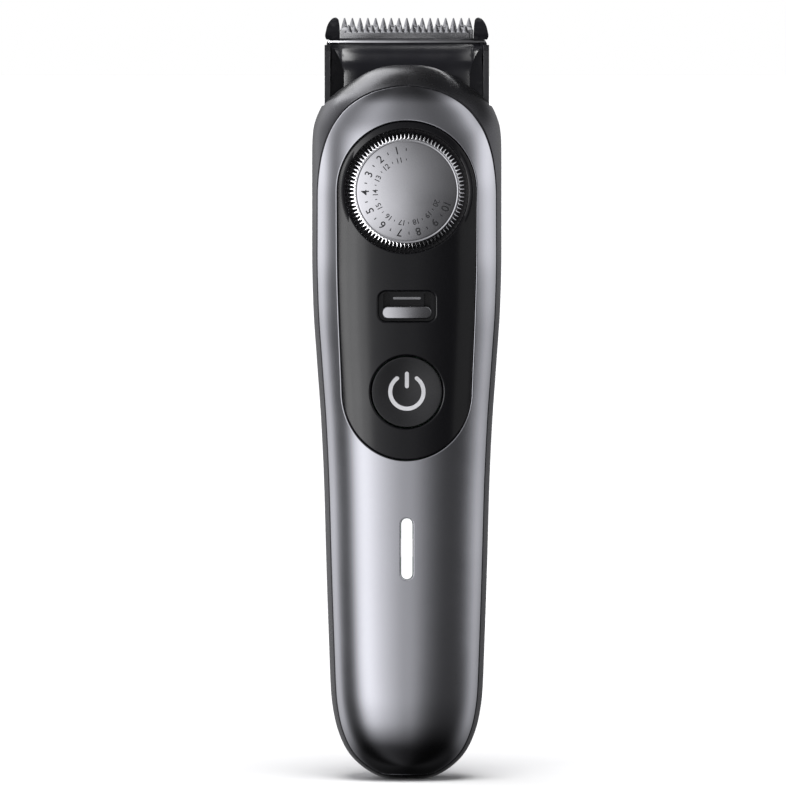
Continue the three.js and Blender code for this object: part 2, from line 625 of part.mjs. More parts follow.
const HEAD_PROFILE = [ // y, z
  [-3.6, HEAD_BASE_Z], [-3.6, 157.2], [-3.45, 158.6], [-2.9, 160.2], [-1.7, 161.7],
  [0.1, 163.0], [1.9, 163.8], [2.3, 164.1], [2.3, 165.1], [2.6, 165.4],
  bladePlane(165.4), bladePlane(151.2), [11.6, HEAD_BASE_Z],
];
// Cheeks beside the blades: right one from the front (x, z), and from the side (y, z).
const CHEEK_FRONT = [
  [14.95, 164.2], [17.95, 164.2], [18.25, 165.3], [18.05, 167.1], [17.75, 168.2], [17.2, 169.2],
  [16.6, 169.8], [15.9, 170.0], [15.4, 169.7], [15.1, 168.6], [14.95, 166.5],
];
const CHEEK_SIDE = [
  [2.3, 164.2], [1.6, 166.2], [1.35, 168.2], [1.7, 169.6], [2.6, 170.4],
  bladePlane(170.4), bladePlane(164.2),
];
const SIDE_RECESS = [ // x, z, on the right
  [17, 149], [13.0, 149], [13.2, 158], [14.0, 160.3], [15.2, 162.0], [16.4, 163.2], [17, 163.4],
];
const pocketDepth = 1.66 / Math.cos(BLADE_SLOPE); // blade stack plus clearance, along y
const bladePocket = prismYZ(
  [bladePlane(157.3, pocketDepth), [20, 157.3], [20, 172], bladePlane(172, pocketDepth)],
  -14.95, 14.95,
);
const headHousing = cut(
  union(
    prismYZ(HEAD_PROFILE, -16.8, 16.8).intersect(prismXY(headPlan(0), 140, 175)),
    midBox(17.9, 2.3, 5.3, 164.1, 165.1),
    mirrorPair(prismXZ(CHEEK_FRONT, -5, 15).intersect(prismYZ(CHEEK_SIDE, 10, 20))),
  ),
  bladePocket,
  midBox(5.5, 0.6, 6.4, 148, 161.8),
  midBox(12.6, 3.6, 9.5, 156.2, 161.8),
  mirrorPair(prismXZ(SIDE_RECESS, -8, 0.4)),
  mirrorPair(cylinderY(0.95, 5, 15, HEAD_SCREW_X, HEAD_SCREW_Z, 12)),
);

// Tapered teeth from left to right, in the blade frame.
function toothRow({ pitch, count, base, tip, baseHalf, tipHalf }) {
  return Array.from({ length: count }, (_, i) => {
    const x = (i - (count - 1) / 2) * pitch;
    return [[x - baseHalf, base], [x - tipHalf, tip], [x + tipHalf, tip], [x + baseHalf, base]];
  }).flat();
}
const fixedTeeth = { pitch: 1.74, count: 17, base: -2.9, tip: -0.02, baseHalf: 0.62, tipHalf: 0.13 };
const fixedBlade = bladePlate([
  [-14.8, -2.9], ...toothRow(fixedTeeth), [14.8, -2.9],
  [14.8, -10.9], [12.3, -13.4], [-12.3, -13.4], [-14.8, -10.9],
], 0.03, 0.7);
const cutterTeeth = { pitch: 1.3, count: 21, base: -3.2, tip: -1.75, baseHalf: 0.46, tipHalf: 0.16 };
const cutterBlade = bladePlate([
  [-13.95, -3.2], ...toothRow(cutterTeeth), [13.95, -3.2], [13.95, -12.0], [-13.95, -12.0],
], 0.75, 1.35);
const driveBlock = cut(
  prismYZ([[1.2, 156.9], bladePlane(156.9, 1.56), bladePlane(160.9, 1.56), [1.2, 160.9]], -2.8, 2.8),
  midBox(0.95, 1.7, 4.8, 150, 165),
);
const bladeSpring = bladePlate(
  mirrorOutline([[4.4, -8.9], [4.4, -11.6], [12, -11.6], [12, -8.3]]), 1.62, 1.92,
);
const bladeScrew = (side) => cylinderY(0.85, 5.6, 10.6, side * HEAD_SCREW_X, HEAD_SCREW_Z, 12);

// ---------- materials ----------
const finish = (color, { roughness, metalness = 0 }) =>
  new THREE.MeshStandardMaterial({ color, roughness, metalness });
const M = {
  fascia: finish(0x8f8f96, { roughness: 0.32, metalness: 0.9 }),
  frame: finish(0x35353a, { roughness: 0.4, metalness: 0.2 }),
  rubber: finish(0x1c1c1e, { roughness: 0.8 }),
  gloss: finish(0x141416, { roughness: 0.22 }),
  dial: finish(0xb4b4b8, { roughness: 0.3, metalness: 0.9 }),
  plastic: finish(0x1a1a1c, { roughness: 0.5 }),
  steel: finish(0x9a9a9c, { roughness: 0.25, metalness: 1 }),
  lens: finish(0xf4f4f2, { roughness: 0.3 }),
  brass: finish(0xc8a24a, { roughness: 0.3, metalness: 1 }),
  board: finish(0x1f5a34, { roughness: 0.6 }),
  cell: finish(0x2c6ea8, { roughness: 0.4 }),
  chassis: finish(0xd9d9d4, { roughness: 0.6 }),
  white: finish(0xe6e3da, { roughness: 0.5 }),
  copper: finish(0xb36a3c, { roughness: 0.4, metalness: 0.9 }),
  seal: finish(0x2a2a2a, { roughness: 0.9 }),
  red: finish(0xb3261e, { roughness: 0.6 }),
};

// ---------- assembly ----------
const root = new THREE.Group();
function add(name, piece, material) {
  const mesh = new THREE.Mesh(geometryOf(piece), material);
  mesh.name = name;
  root.add(mesh);
}
function addPair(name, build, material) {
  add(`${name}_left`, build(-1), material);
  add(`${name}_right`, build(1), material);
}
add("front_fascia", frontFascia, M.fascia);
add("mid_frame", midFrame, M.frame);
add("back_cover", backCover, M.rubber);
add("control_panel", controlPanel, M.gloss);
add("chassis", chassis, M.chassis);
add("charging_socket", chargingSocket, M.plastic);
add("socket_seal", socketSeal, M.seal);
addPair("charging_pin", chargingPin, M.brass);
add("charging_lead_red", chargingLead(1), M.red);
add("charging_lead_black", chargingLead(-1), M.seal);
add("battery_cell", batteryCell, M.cell);
add("battery_tab_top", batteryTabTop, M.steel);
add("battery_tab_bottom", batteryTabBottom, M.steel);
add("circuit_board", circuitBoard, M.board);
addPair("board_screw", boardScrew, M.steel);
add("charge_chip", chargeChip, M.plastic);
add("power_switch", powerSwitch, M.steel);
add("status_led", statusLed, M.white);
add("light_guide", lightGuide, M.lens);
add("motor_can", motorCan, M.steel);
add("motor_end_cap", motorEndCap, M.white);
add("motor_bearing", motorBearing, M.brass);
addPair("motor_screw", motorScrew, M.steel);
add("motor_shaft", motorShaft, M.steel);
add("motor_armature", motorArmature, M.copper);
add("eccentric_cam", eccentricCam, M.white);
add("drive_lever", driveLever, M.white);
add("lever_pivot_pin", leverPin, M.steel);
add("power_button", powerButton, M.gloss);
add("dial_knob", dialKnob, M.dial);
add("dial_shaft", dialShaft, M.steel);
add("detent_wheel", detentWheel, M.white);
add("drive_pinion", drivePinion, M.brass);
add("dial_bearing", dialBearing, M.brass);
add("dial_seal", dialSeal, M.seal);
add("detent_spring", detentSpring, M.steel);
add("comb_carriage", combCarriage, M.plastic);
add("carriage_rack", carriageRack, M.white);
add("lock_guide", lockGuide, M.plastic);
add("lock_slider", lockSlider, M.dial);
add("lock_pawl", lockPawl, M.white);
add("head_housing", headHousing, M.plastic);
add("fixed_blade", fixedBlade, M.steel);
add("cutter_blade", cutterBlade, M.steel);
add("cutter_drive_block", driveBlock, M.white);
add("blade_spring", bladeSpring, M.steel);
addPair("blade_screw", bladeScrew, M.steel);

export default root;
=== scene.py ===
import bpy, bmesh, json, math
import numpy as np
from mathutils import Vector, Matrix
from mathutils.geometry import delaunay_2d_cdt

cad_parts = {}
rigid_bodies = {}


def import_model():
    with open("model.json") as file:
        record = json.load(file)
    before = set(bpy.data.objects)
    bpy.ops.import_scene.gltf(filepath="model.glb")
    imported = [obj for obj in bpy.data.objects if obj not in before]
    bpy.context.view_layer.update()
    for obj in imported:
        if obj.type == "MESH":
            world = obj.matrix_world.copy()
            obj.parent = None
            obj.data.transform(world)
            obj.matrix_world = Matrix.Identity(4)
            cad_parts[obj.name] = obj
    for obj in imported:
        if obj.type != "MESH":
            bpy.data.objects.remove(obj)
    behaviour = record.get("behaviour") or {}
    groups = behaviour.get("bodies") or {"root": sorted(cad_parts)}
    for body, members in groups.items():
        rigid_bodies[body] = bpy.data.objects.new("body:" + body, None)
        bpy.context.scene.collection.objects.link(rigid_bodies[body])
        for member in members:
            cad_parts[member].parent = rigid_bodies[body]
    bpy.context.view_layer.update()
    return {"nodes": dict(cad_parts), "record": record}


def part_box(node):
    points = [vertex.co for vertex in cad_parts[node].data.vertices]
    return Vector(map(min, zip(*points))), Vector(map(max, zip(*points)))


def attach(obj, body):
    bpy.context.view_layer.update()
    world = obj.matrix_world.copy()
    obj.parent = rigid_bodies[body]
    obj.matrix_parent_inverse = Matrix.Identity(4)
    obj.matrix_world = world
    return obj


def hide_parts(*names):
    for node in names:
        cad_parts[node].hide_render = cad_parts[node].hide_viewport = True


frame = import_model()
NODES = frame["nodes"]
RECORD = frame["record"]
MM = 0.001


def bx(node):
    lo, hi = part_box(node)
    return np.array(lo) * 1000.0, np.array(hi) * 1000.0


# ------------------------------------------------------------------ body skin
TABLE = np.array([
    [0.0, 5.8, 5.0, 5.0, 2.2], [0.62, 7.2, 6.5, 6.4, 2.2], [1.57, 8.9, 8.1, 7.9, 2.2], [3.38, 11.2, 10.1, 9.7, 2.25],
    [5.3, 12.95, 11.5, 11.0, 2.3], [8.2, 14.55, 12.8, 12.1, 2.4], [13.0, 16.1, 14.0, 13.1, 2.5], [19.0, 16.95, 14.7, 13.6, 2.6],
    [30.0, 17.4, 15.1, 14.0, 2.7], [48.0, 18.0, 15.5, 14.0, 2.7], [66.0, 18.5, 15.8, 14.4, 2.7], [80.0, 19.15, 16.1, 15.2, 2.7],
    [93.5, 20.1, 16.4, 16.4, 2.7], [106.0, 20.9, 16.7, 17.5, 2.7], [117.0, 21.15, 16.9, 18.1, 2.7], [131.6, 21.15, 16.9, 18.3, 2.7],
    [140.0, 21.15, 16.6, 17.4, 2.6], [144.4, 21.0, 16.2, 16.3, 2.5], [147.0, 20.5, 15.7, 15.5, 2.45], [149.7, 19.3, 14.9, 14.2, 2.4],
    [151.7, 18.2, 13.9, 13.1, 2.35], [154.0, 15.5, 12.3, 11.2, 2.3], [156.0, 12.6, 10.4, 9.2, 2.3], [157.5, 10.4, 8.6, 7.4, 2.3],
    [158.7, 7.9, 6.6, 5.6, 2.3], [159.5, 5.0, 4.4, 4.0, 2.3]])
mf_lo, mf_hi = bx("mid_frame")
TABLE[:, 0] *= mf_hi[2] / 159.5
TABLE[:, 1] *= (mf_hi[0] - mf_lo[0]) / 42.3
ZTOP = TABLE[-1, 0]


def pchip(xs, ys):
    d = np.diff(ys) / np.diff(xs)
    m = np.zeros(len(xs))
    m[0], m[-1] = d[0], d[-1]
    for i in range(1, len(xs) - 1):
        m[i] = 0.0 if d[i - 1] * d[i] <= 0 else 2 * d[i - 1] * d[i] / (d[i - 1] + d[i])

    def f(t):
        t = np.clip(np.asarray(t, float), xs[0], xs[-1])
        i = np.clip(np.searchsorted(xs, t, side="right") - 1, 0, len(xs) - 2)
        h = xs[i + 1] - xs[i]
        s = (t - xs[i]) / h
        return (ys[i] * (2 * s ** 3 - 3 * s ** 2 + 1) + h * m[i] * (s ** 3 - 2 * s ** 2 + s)
                + ys[i + 1] * (-2 * s ** 3 + 3 * s ** 2) + h * m[i + 1] * (s ** 3 - s ** 2))
    return f


# The table is smoothed once more so that no ring of the table shows in a reflection.
def smooth_column(c):
    f = pchip(TABLE[:, 0], TABLE[:, c])
    z = np.linspace(0, ZTOP, 1596)
    y = f(z)
    k = np.hanning(61)
    k /= k.sum()
    pad = np.concatenate([y[30:0:-1] * -1 + 2 * y[0], y, 2 * y[-1] - y[-2:-32:-1]])
    s = np.convolve(pad, k, mode="valid")
    edge = np.clip(np.minimum(z / 6.0, (ZTOP - z) / 6.0), 0, 1)
    out = y * (1 - edge) + s * edge
    return lambda t: np.interp(t, z, out)


Wf, Ff, Bf, Nf = (smooth_column(c) for c in (1, 2, 3, 4))
RS = 18.0
_z = np.linspace(0, ZTOP, 8001)
_v = np.concatenate([[0], np.cumsum(np.hypot(np.diff(_z), np.diff(Wf(_z))))])
VTOP = _v[-1]


def z_of(v):
    return np.interp(v, _v, _z)


def v_of(z):
    return np.interp(z, _z, _v)


def body(dom):
    phi, z = dom[:, 0] / RS, z_of(dom[:, 1])
    c, s = np.cos(phi), np.sin(phi)
    w, n = Wf(z), Nf(z)
    d = np.where(s < 0, Ff(z), Bf(z))
    r = (np.abs(c / w) ** n + np.abs(s / d) ** n) ** (-1 / n)
    return np.stack([r * c, r * s, z], 1)


def front_y(x, z):
    w, n = Wf(z), Nf(z)
    return -Ff(z) * np.clip(1 - np.abs(x / w) ** n, 0, 1) ** (1 / n)


def dom_front(pts):
    """Front-view points (x, z) to the body's unrolled domain; the front's centre is at -90 degrees."""
    pts = np.asarray(pts, float)
    x, z = pts[:, 0], np.clip(pts[:, 1], 0, ZTOP)
    return np.stack([np.arctan2(front_y(x, z), x) * RS, v_of(z)], 1)


# ------------------------------------------------------------------ curves
def catmull(pts, closed, sub=16):
    p = np.asarray(pts, float)
    n = len(p)
    seg = n if closed else n - 1
    out = []
    for i in range(seg):
        a, b = p[i], p[(i + 1) % n]
        prev = p[(i - 1) % n] if (closed or i > 0) else a - (b - a)
        nxt = p[(i + 2) % n] if (closed or i + 2 < n) else b + (b - a)
        d0, d1, d2 = (max(np.linalg.norm(q), 1e-9) for q in (a - prev, b - a, nxt - b))
        m1 = (d1 / (d0 + d1)) * ((a - prev) / d0 * d1 + (b - a) / d1 * d0)
        m2 = (d1 / (d1 + d2)) * ((b - a) / d1 * d2 + (nxt - b) / d2 * d1)
        for k in range(sub):
            s = k / sub
            out.append(a * (2 * s ** 3 - 3 * s ** 2 + 1) + m1 * (s ** 3 - 2 * s ** 2 + s) + b * (-2 * s ** 3 + 3 * s ** 2) + m2 * (s ** 3 - s ** 2))
    if not closed:
        out.append(p[-1])
    return np.array(out)


def resample(pts, step, closed, surf=None):
    p = np.asarray(pts, float)
    q = surf(p) if surf else p
    if closed:
        p, q = np.vstack([p, p[:1]]), np.vstack([q, q[:1]])
    s = np.concatenate([[0], np.cumsum(np.linalg.norm(np.diff(q, axis=0), axis=1))])
    n = max(8, int(round(s[-1] / step)))
    t = np.linspace(0, s[-1], n + 1)
    if closed:
        t = t[:-1]
    return np.stack([np.interp(t, s, p[:, k]) for k in range(p.shape[1])], 1)


def soften(pts, width, step, closed=True, surf=None):
    """Rounds the corners of a curve by a moving average about width long."""
    p = resample(pts, step, closed, surf)
    m = max(1, int(width / step / 2))
    k = np.hanning(2 * m + 3)[1:-1]
    k /= k.sum()
    if closed:
        ext = np.vstack([p[-m:], p, p[:m]])
        return np.stack([np.convolve(ext[:, c], k, mode="valid") for c in range(p.shape[1])], 1)
    out = p.copy()
    for c in range(p.shape[1]):
        out[m:-m, c] = np.convolve(p[:, c], k, mode="valid")
    return out


def area2(p):
    x, y = p[:, 0], p[:, 1]
    return 0.5 * np.sum(x * np.roll(y, -1) - np.roll(x, -1) * y)


def inside(points, loops):
    ok = np.zeros(len(points), bool)
    for loop in loops:
        a, b = loop, np.roll(loop, -1, axis=0)
        for i in range(0, len(points), 4000):
            q = points[i:i + 4000]
            y = q[:, 1][:, None]
            c = (a[:, 1] > y) != (b[:, 1] > y)
            with np.errstate(divide="ignore", invalid="ignore"):
                xs = (b[:, 0] - a[:, 0]) * (y - a[:, 1]) / (b[:, 1] - a[:, 1]) + a[:, 0]
            hit = (c & (q[:, 0][:, None] < xs)).sum(1) % 2 == 1
            ok[i:i + 4000] ^= hit
    return ok


def triangles(points, edges, loops, seams=None):
    """Delaunay triangles of the region bounded by the edges, counter-clockwise. Returns points, source index and triangles."""
    V, E, Fc, ov, oe, _ = delaunay_2d_cdt([Vector(map(float, q)) for q in points], [tuple(map(int, e)) for e in edges], [], 0, 1e-5)
    V = np.array([tuple(v) for v in V])
    src = np.full(len(V), -1)
    where = np.full(len(points), -1)
    for i, o in enumerate(ov):
        if o:
            src[i] = o[0]
            for q in o:
                where[q] = i
    ok = src >= 0
    V[ok] = points[src[ok]]
    walls = {(min(e), max(e)) for e, o in zip(E, oe) if o}
    if seams:
        side = [abs(V[:, 0] - q) < 1e-4 for q in seams[:2]]
        walls |= {(min(e), max(e)) for e in E if any(m[e[0]] and m[e[1]] for m in side)}
    users = {}
    for k, f in enumerate(Fc):
        for a, b in ((f[0], f[1]), (f[1], f[2]), (f[2], f[0])):
            users.setdefault((min(a, b), max(a, b)), []).append(k)
    parent = list(range(len(Fc)))

    def root(i):
        while parent[i] != i:
            parent[i] = parent[parent[i]]
            i = parent[i]
        return i
    hull = set()
    for e, ks in users.items():
        if e in walls:
            continue
        if len(ks) == 2:
            parent[root(ks[0])] = root(ks[1])
        else:
            hull.add(ks[0])
    F3 = np.array([list(f) for f in Fc])
    a, b, c = V[F3[:, 0]], V[F3[:, 1]], V[F3[:, 2]]
    A = 0.5 * ((b[:, 0] - a[:, 0]) * (c[:, 1] - a[:, 1]) - (b[:, 1] - a[:, 1]) * (c[:, 0] - a[:, 0]))
    roots = np.array([root(i) for i in range(len(Fc))])
    bad = {root(i) for i in hull}
    best = {}
    for i in np.argsort(-np.abs(A)):
        best.setdefault(int(roots[i]), int(i))
    keys = [k for k in best if k not in bad]
    cen = np.array([(a[best[k]] + b[best[k]] + c[best[k]]) / 3 for k in keys])
    good = {k for k, o in zip(keys, inside(cen, loops)) if o}
    keep = np.array([int(r) in good for r in roots])
    F3[A < 0] = F3[A < 0][:, ::-1]
    return V, src, where, F3[keep]


def near(points, others, limit):
    keep = np.ones(len(points), bool)
    for i in range(0, len(points), 2000):
        q = points[i:i + 2000]
        d = ((q[:, None, :] - others[None, :, :]) ** 2).sum(2).min(1)
        keep[i:i + 2000] = d > limit * limit
    return keep


# ------------------------------------------------------------------ meshes
def new_object(name, verts, faces, smooth=True):
    me = bpy.data.meshes.new(name)
    me.from_pydata([tuple(map(float, v)) for v in verts], [], [tuple(map(int, f)) for f in faces])
    me.validate(verbose=False)
    me.update()
    o = bpy.data.objects.new(name, me)
    bpy.context.scene.collection.objects.link(o)
    if smooth:
        me.polygons.foreach_set("use_smooth", [True] * len(me.polygons))
    return o


def patch(surf, dom, height=None, vmax=None):
    """Point, unit normal and the two tangents of a mapped surface."""
    e = 0.02
    du, dv = np.array([e, 0.0]), np.array([0.0, e])
    P = surf(dom)
    Pu = (surf(dom + du) - surf(dom - du)) / (2 * e)
    hi, lo = dom + dv, dom - dv
    if vmax is not None:
        hi, lo = hi.copy(), lo.copy()
        hi[:, 1], lo[:, 1] = np.minimum(hi[:, 1], vmax), np.maximum(lo[:, 1], 0)
    span = (hi[:, 1] - lo[:, 1])[:, None]
    Ph, Pl = surf(hi), surf(lo)
    Pv = (Ph - Pl) / span
    n = np.cross(Pu, Pv)
    n /= np.linalg.norm(n, axis=1)[:, None]
    if height is None:
        return P, n, Pu, Pv, n
    hu = (height(surf(dom + du)) - height(surf(dom - du))) / (2 * e)
    hv = (height(Ph) - height(Pl)) / span[:, 0]
    E, Fm, G = (Pu * Pu).sum(1), (Pu * Pv).sum(1), (Pv * Pv).sum(1)
    det = E * G - Fm * Fm
    a, b = (G * hu - Fm * hv) / det, (E * hv - Fm * hu) / det
    m = n - a[:, None] * Pu - b[:, None] * Pv
    m /= np.linalg.norm(m, axis=1)[:, None]
    return P + n * height(P)[:, None], m, Pu, Pv, n


class Chain:
    def __init__(self, pts, lip=0.25, gap=0.0, closed=True, back=None, rows=4):
        self.pts, self.lip, self.gap, self.closed, self.back, self.rows = np.asarray(pts, float), lip, gap, closed, back, rows


def shell(name, surf, chains, step, wall, height=None, limit=None, seams=None, vmax=None, coarse=2.6, back_coarse=None, follow=False):
    """A closed thin piece on a mapped surface. chains bound it, with the piece on their left; each edge is rounded.
    seams: two domain columns that are one line on the surface."""
    pts, depth, kind, nrm_mix, side_dir = [], [], [], [], []
    edges, rims = [], []
    base = 0
    boundary = []
    inner_rows = []
    for ch in chains:
        p = ch.pts
        t = (np.roll(p, -1, 0) - np.roll(p, 1, 0)) if ch.closed else np.gradient(p, axis=0)
        _, n, Pu, Pv, n0 = patch(surf, p, None, vmax)
        T = Pu * t[:, :1] + Pv * t[:, 1:]
        T /= np.linalg.norm(T, axis=1)[:, None]
        side = np.cross(n0, T)  # into the piece
        E, Fm, G = (Pu * Pu).sum(1), (Pu * Pv).sum(1), (Pv * Pv).sum(1)
        su, sv = (Pu * side).sum(1), (Pv * side).sum(1)
        det = E * G - Fm * Fm
        w = np.stack([(G * su - Fm * sv) / det, (E * sv - Fm * su) / det], 1)
        if not ch.closed:
            w[0, 0] = w[-1, 0] = 0.0
        rim0 = None
        for k in range(ch.rows + 1):
            a = 0.5 * math.pi * k / ch.rows
            e, d = ch.lip * (1 - math.cos(a)), ch.lip * (1 - math.sin(a))
            row = p + w * (ch.gap + e)
            if vmax is not None:
                row[:, 1] = np.clip(row[:, 1], 0, vmax)
            idx = np.arange(base, base + len(row))
            base += len(row)
            pts.append(row)
            depth.append(np.full(len(row), d))
            nrm_mix.append(np.full(len(row), math.sin(a)))
            side_dir.append(-side)
            edges += list(zip(idx[:-1], idx[1:])) + ([(idx[-1], idx[0])] if ch.closed else [])
            if k == 0:
                rim0 = idx
                boundary.append(row)
        inner_rows.append(row)
        rims.append((ch, rim0))
    seam_pairs = []
    if seams:
        (sa, sb, rows_v) = seams
        for v in rows_v:
            pts.append(np.array([[sa, v], [sb, v]]))
            depth.append(np.zeros(2)); nrm_mix.append(np.ones(2)); side_dir.append(np.zeros((2, 3)))
            seam_pairs.append((base, base + 1))
            base += 2
    fixed = np.vstack(pts)
    loops = [c for c, ch in zip(boundary, chains) if ch.closed]
    if seams:
        loops.append(np.vstack([c for c, ch in zip(boundary, chains) if not ch.closed]))

    def fill(spacing, existing, clearance):
        lo, hi = existing.min(0), existing.max(0)
        ny = int((hi[1] - lo[1]) / (spacing * 0.866)) + 2
        nx = int((hi[0] - lo[0]) / spacing) + 2
        gx, gy = np.meshgrid(np.arange(nx), np.arange(ny))
        g = np.stack([lo[0] + (gx + 0.5 * (gy % 2)) * spacing, lo[1] + gy * spacing * 0.866], -1).reshape(-1, 2)
        g = g[inside(g, loops)]
        return g[near(g, existing, clearance)]

    grid = fill(step, np.vstack(inner_rows + [x for x in ([fixed[[i for p in seam_pairs for i in p]]] if seam_pairs else [])]), step * 0.62)
    allp = np.vstack([fixed, grid])
    D = np.concatenate(depth + [np.zeros(len(grid))])
    A = np.concatenate(nrm_mix + [np.ones(len(grid))])
    SD = np.vstack(side_dir + [np.zeros((len(grid), 3))])
    Vd, src, where, tri = triangles(allp, edges, loops, seams)
    lost = src < 0
    d, a, sd = np.zeros(len(Vd)), np.ones(len(Vd)), np.zeros((len(Vd), 3))
    d[~lost], a[~lost], sd[~lost] = D[src[~lost]], A[src[~lost]], SD[src[~lost]]
    for i in np.where(lost)[0]:
        j = ((fixed - Vd[i]) ** 2).sum(1).argmin()
        d[i], a[i], sd[i] = D[j], A[j], SD[j]
    tri = tri.tolist()
    P, m, _, _, n0 = patch(surf, Vd, height, vmax)
    P = P - n0 * d[:, None]
    nr = m * a[:, None] + sd * np.sqrt(np.clip(1 - a * a, 0, 1))[:, None]
    nr /= np.linalg.norm(nr, axis=1)[:, None]
    verts, faces, normals = [P], list(tri), [[nr[i] for i in f] for f in tri]
    off = len(P)
    # back side
    rim_all = np.vstack([allp[r] for _, r in rims])
    wallv = wall if limit is None else None
    bedges, b0, ring_ids = [], 0, []
    for ch, r in rims:
        ids = np.arange(b0, b0 + len(r))
        ring_ids.append(ids)
        bedges += list(zip(ids[:-1], ids[1:])) + ([(ids[-1], ids[0])] if ch.closed else [])
        b0 += len(r)
    bfix = rim_all
    bseam = []
    if seams:
        sv = np.array(seams[2])
        for v in sv[::3]:
            bfix = np.vstack([bfix, [[seams[0], v], [seams[1], v]]])
            bseam.append((b0, b0 + 1))
            b0 += 2
    bgrid = fill(back_coarse or coarse, bfix, (back_coarse or coarse) * 0.5)
    ball = np.vstack([bfix, bgrid])
    BV, _, bwhere, bt = triangles(ball, bedges, loops, seams)
    bt = bt[:, ::-1].tolist()
    BP, _, _, _, bn = patch(surf, BV, None, vmax)
    depth_b = np.full(len(BV), float(wall)) if limit is None else limit(BP, bn, wall)
    if follow:
        depth_b = depth_b - height(BP)
    BQ = BP - bn * depth_b[:, None]
    for (ch, r), ids in zip(rims, ring_ids):
        if ch.back is not None:
            for i, j in zip(r, bwhere[ids]):
                q = P[where[i]].copy()
                q[1] = ch.back
                BQ[j] = q
    if limit is not None and hasattr(limit, "after"):
        BQ = limit.after(BQ)
    verts.append(BQ)
    faces += [[i + off for i in f] for f in bt]
    normals += [[-bn[i] for i in f] for f in bt]
    # edge walls
    for (ch, r), ids in zip(rims, ring_ids):
        f_i, b_i = where[r], bwhere[ids] + off
        count = len(r) if ch.closed else len(r) - 1
        for i in range(count):
            j = (i + 1) % len(r)
            faces.append([f_i[j], f_i[i], b_i[i], b_i[j]])
            na, nb = nr[f_i[i]], nr[f_i[j]]
            normals.append([nb, na, na, nb])
    verts = np.vstack(verts)
    # join the two sides of the seam
    remap = np.arange(len(verts))
    if seams:
        on = [i for i in range(len(Vd)) if abs(Vd[i, 0] - seams[0]) < 1e-4 or abs(Vd[i, 0] - seams[1]) < 1e-4]
        on += [off + i for i in range(len(BV)) if abs(BV[i, 0] - seams[0]) < 1e-4 or abs(BV[i, 0] - seams[1]) < 1e-4]
        on = np.array(on)
        for i in on:
            dd = np.linalg.norm(verts[on] - verts[i], axis=1)
            remap[i] = on[np.where(dd < 2e-4)[0]].min()
    faces = [[int(remap[i]) for i in f] for f in faces]
    used = sorted({i for f in faces for i in f})
    back = {i: k for k, i in enumerate(used)}
    faces2, normals2 = [], []
    for f, nn in zip(faces, normals):
        g = [back[i] for i in f]
        if len(set(g)) < 3:
            continue
        if len(set(g)) < len(g):
            seen, gg, n2 = set(), [], []
            for i, x in zip(g, nn):
                if i not in seen:
                    seen.add(i); gg.append(i); n2.append(x)
            g, nn = gg, n2
        faces2.append(g); normals2.append(nn)
    o = new_object(name, verts[used] * MM, faces2)
    me = o.data
    if len(me.polygons) == len(faces2):
        flat = [tuple(map(float, x)) for nn in normals2 for x in nn]
        if len(flat) == len(me.loops):
            me.normals_split_custom_set(flat)
    return o


def prism(name, outline, axes, t0, t1, bevel=0.0, seg=2, sharp=40.0):
    """An outline in the plane of axes (0 x, 1 y, 2 z), from t0 to t1 along the third, with rounded sharp edges."""
    a, b = axes
    c = 3 - a - b
    bm = bmesh.new()
    vs = []
    for p in outline:
        q = [0.0, 0.0, 0.0]
        q[a], q[b], q[c] = float(p[0]), float(p[1]), float(t0)
        vs.append(bm.verts.new(q))
    f = bm.faces.new(vs)
    r = bmesh.ops.extrude_face_region(bm, geom=[f])
    d = [0.0, 0.0, 0.0]
    d[c] = float(t1 - t0)
    bmesh.ops.translate(bm, verts=[g for g in r["geom"] if isinstance(g, bmesh.types.BMVert)], vec=d)
    bmesh.ops.recalc_face_normals(bm, faces=bm.faces)
    return finish_bm(name, bm, bevel, seg, sharp)


def finish_bm(name, bm, bevel=0.0, seg=2, sharp=40.0, scale=True):
    if bevel > 0:
        es = [e for e in bm.edges if len(e.link_faces) == 2 and e.calc_face_angle(0) > math.radians(sharp)]
        bmesh.ops.bevel(bm, geom=es, offset=bevel, offset_type="OFFSET", segments=seg, profile=0.5, affect="EDGES", clamp_overlap=True)
    if scale:
        bmesh.ops.scale(bm, verts=bm.verts, vec=(MM, MM, MM))
    me = bpy.data.meshes.new(name)
    bm.to_mesh(me)
    bm.free()
    o = bpy.data.objects.new(name, me)
    bpy.context.scene.collection.objects.link(o)
    shade(o)
    return o


def shade(o, angle=42.0):
    me = o.data
    me.polygons.foreach_set("use_smooth", [True] * len(me.polygons))
    me.set_sharp_from_angle(angle=math.radians(angle))
    w = o.modifiers.new("weighted", "WEIGHTED_NORMAL")
    w.keep_sharp = True
    w.weight = 60


def boolean(o, other, op="DIFFERENCE", drop=True):
    """Joins or cuts two closed pieces with the manifold solver and applies it."""
    m = o.modifiers.new("cut", "BOOLEAN")
    m.operation, m.solver, m.object = op, "MANIFOLD", other
    for x in list(o.modifiers):
        if x.type == "WEIGHTED_NORMAL":
            o.modifiers.remove(x)
    bpy.context.view_layer.update()
    dg = bpy.context.evaluated_depsgraph_get()
    me = bpy.data.meshes.new_from_object(o.evaluated_get(dg))
    o.modifiers.clear()
    old = o.data
    o.data = me
    bpy.data.meshes.remove(old)
    if drop:
        bpy.data.objects.remove(other)
    return o


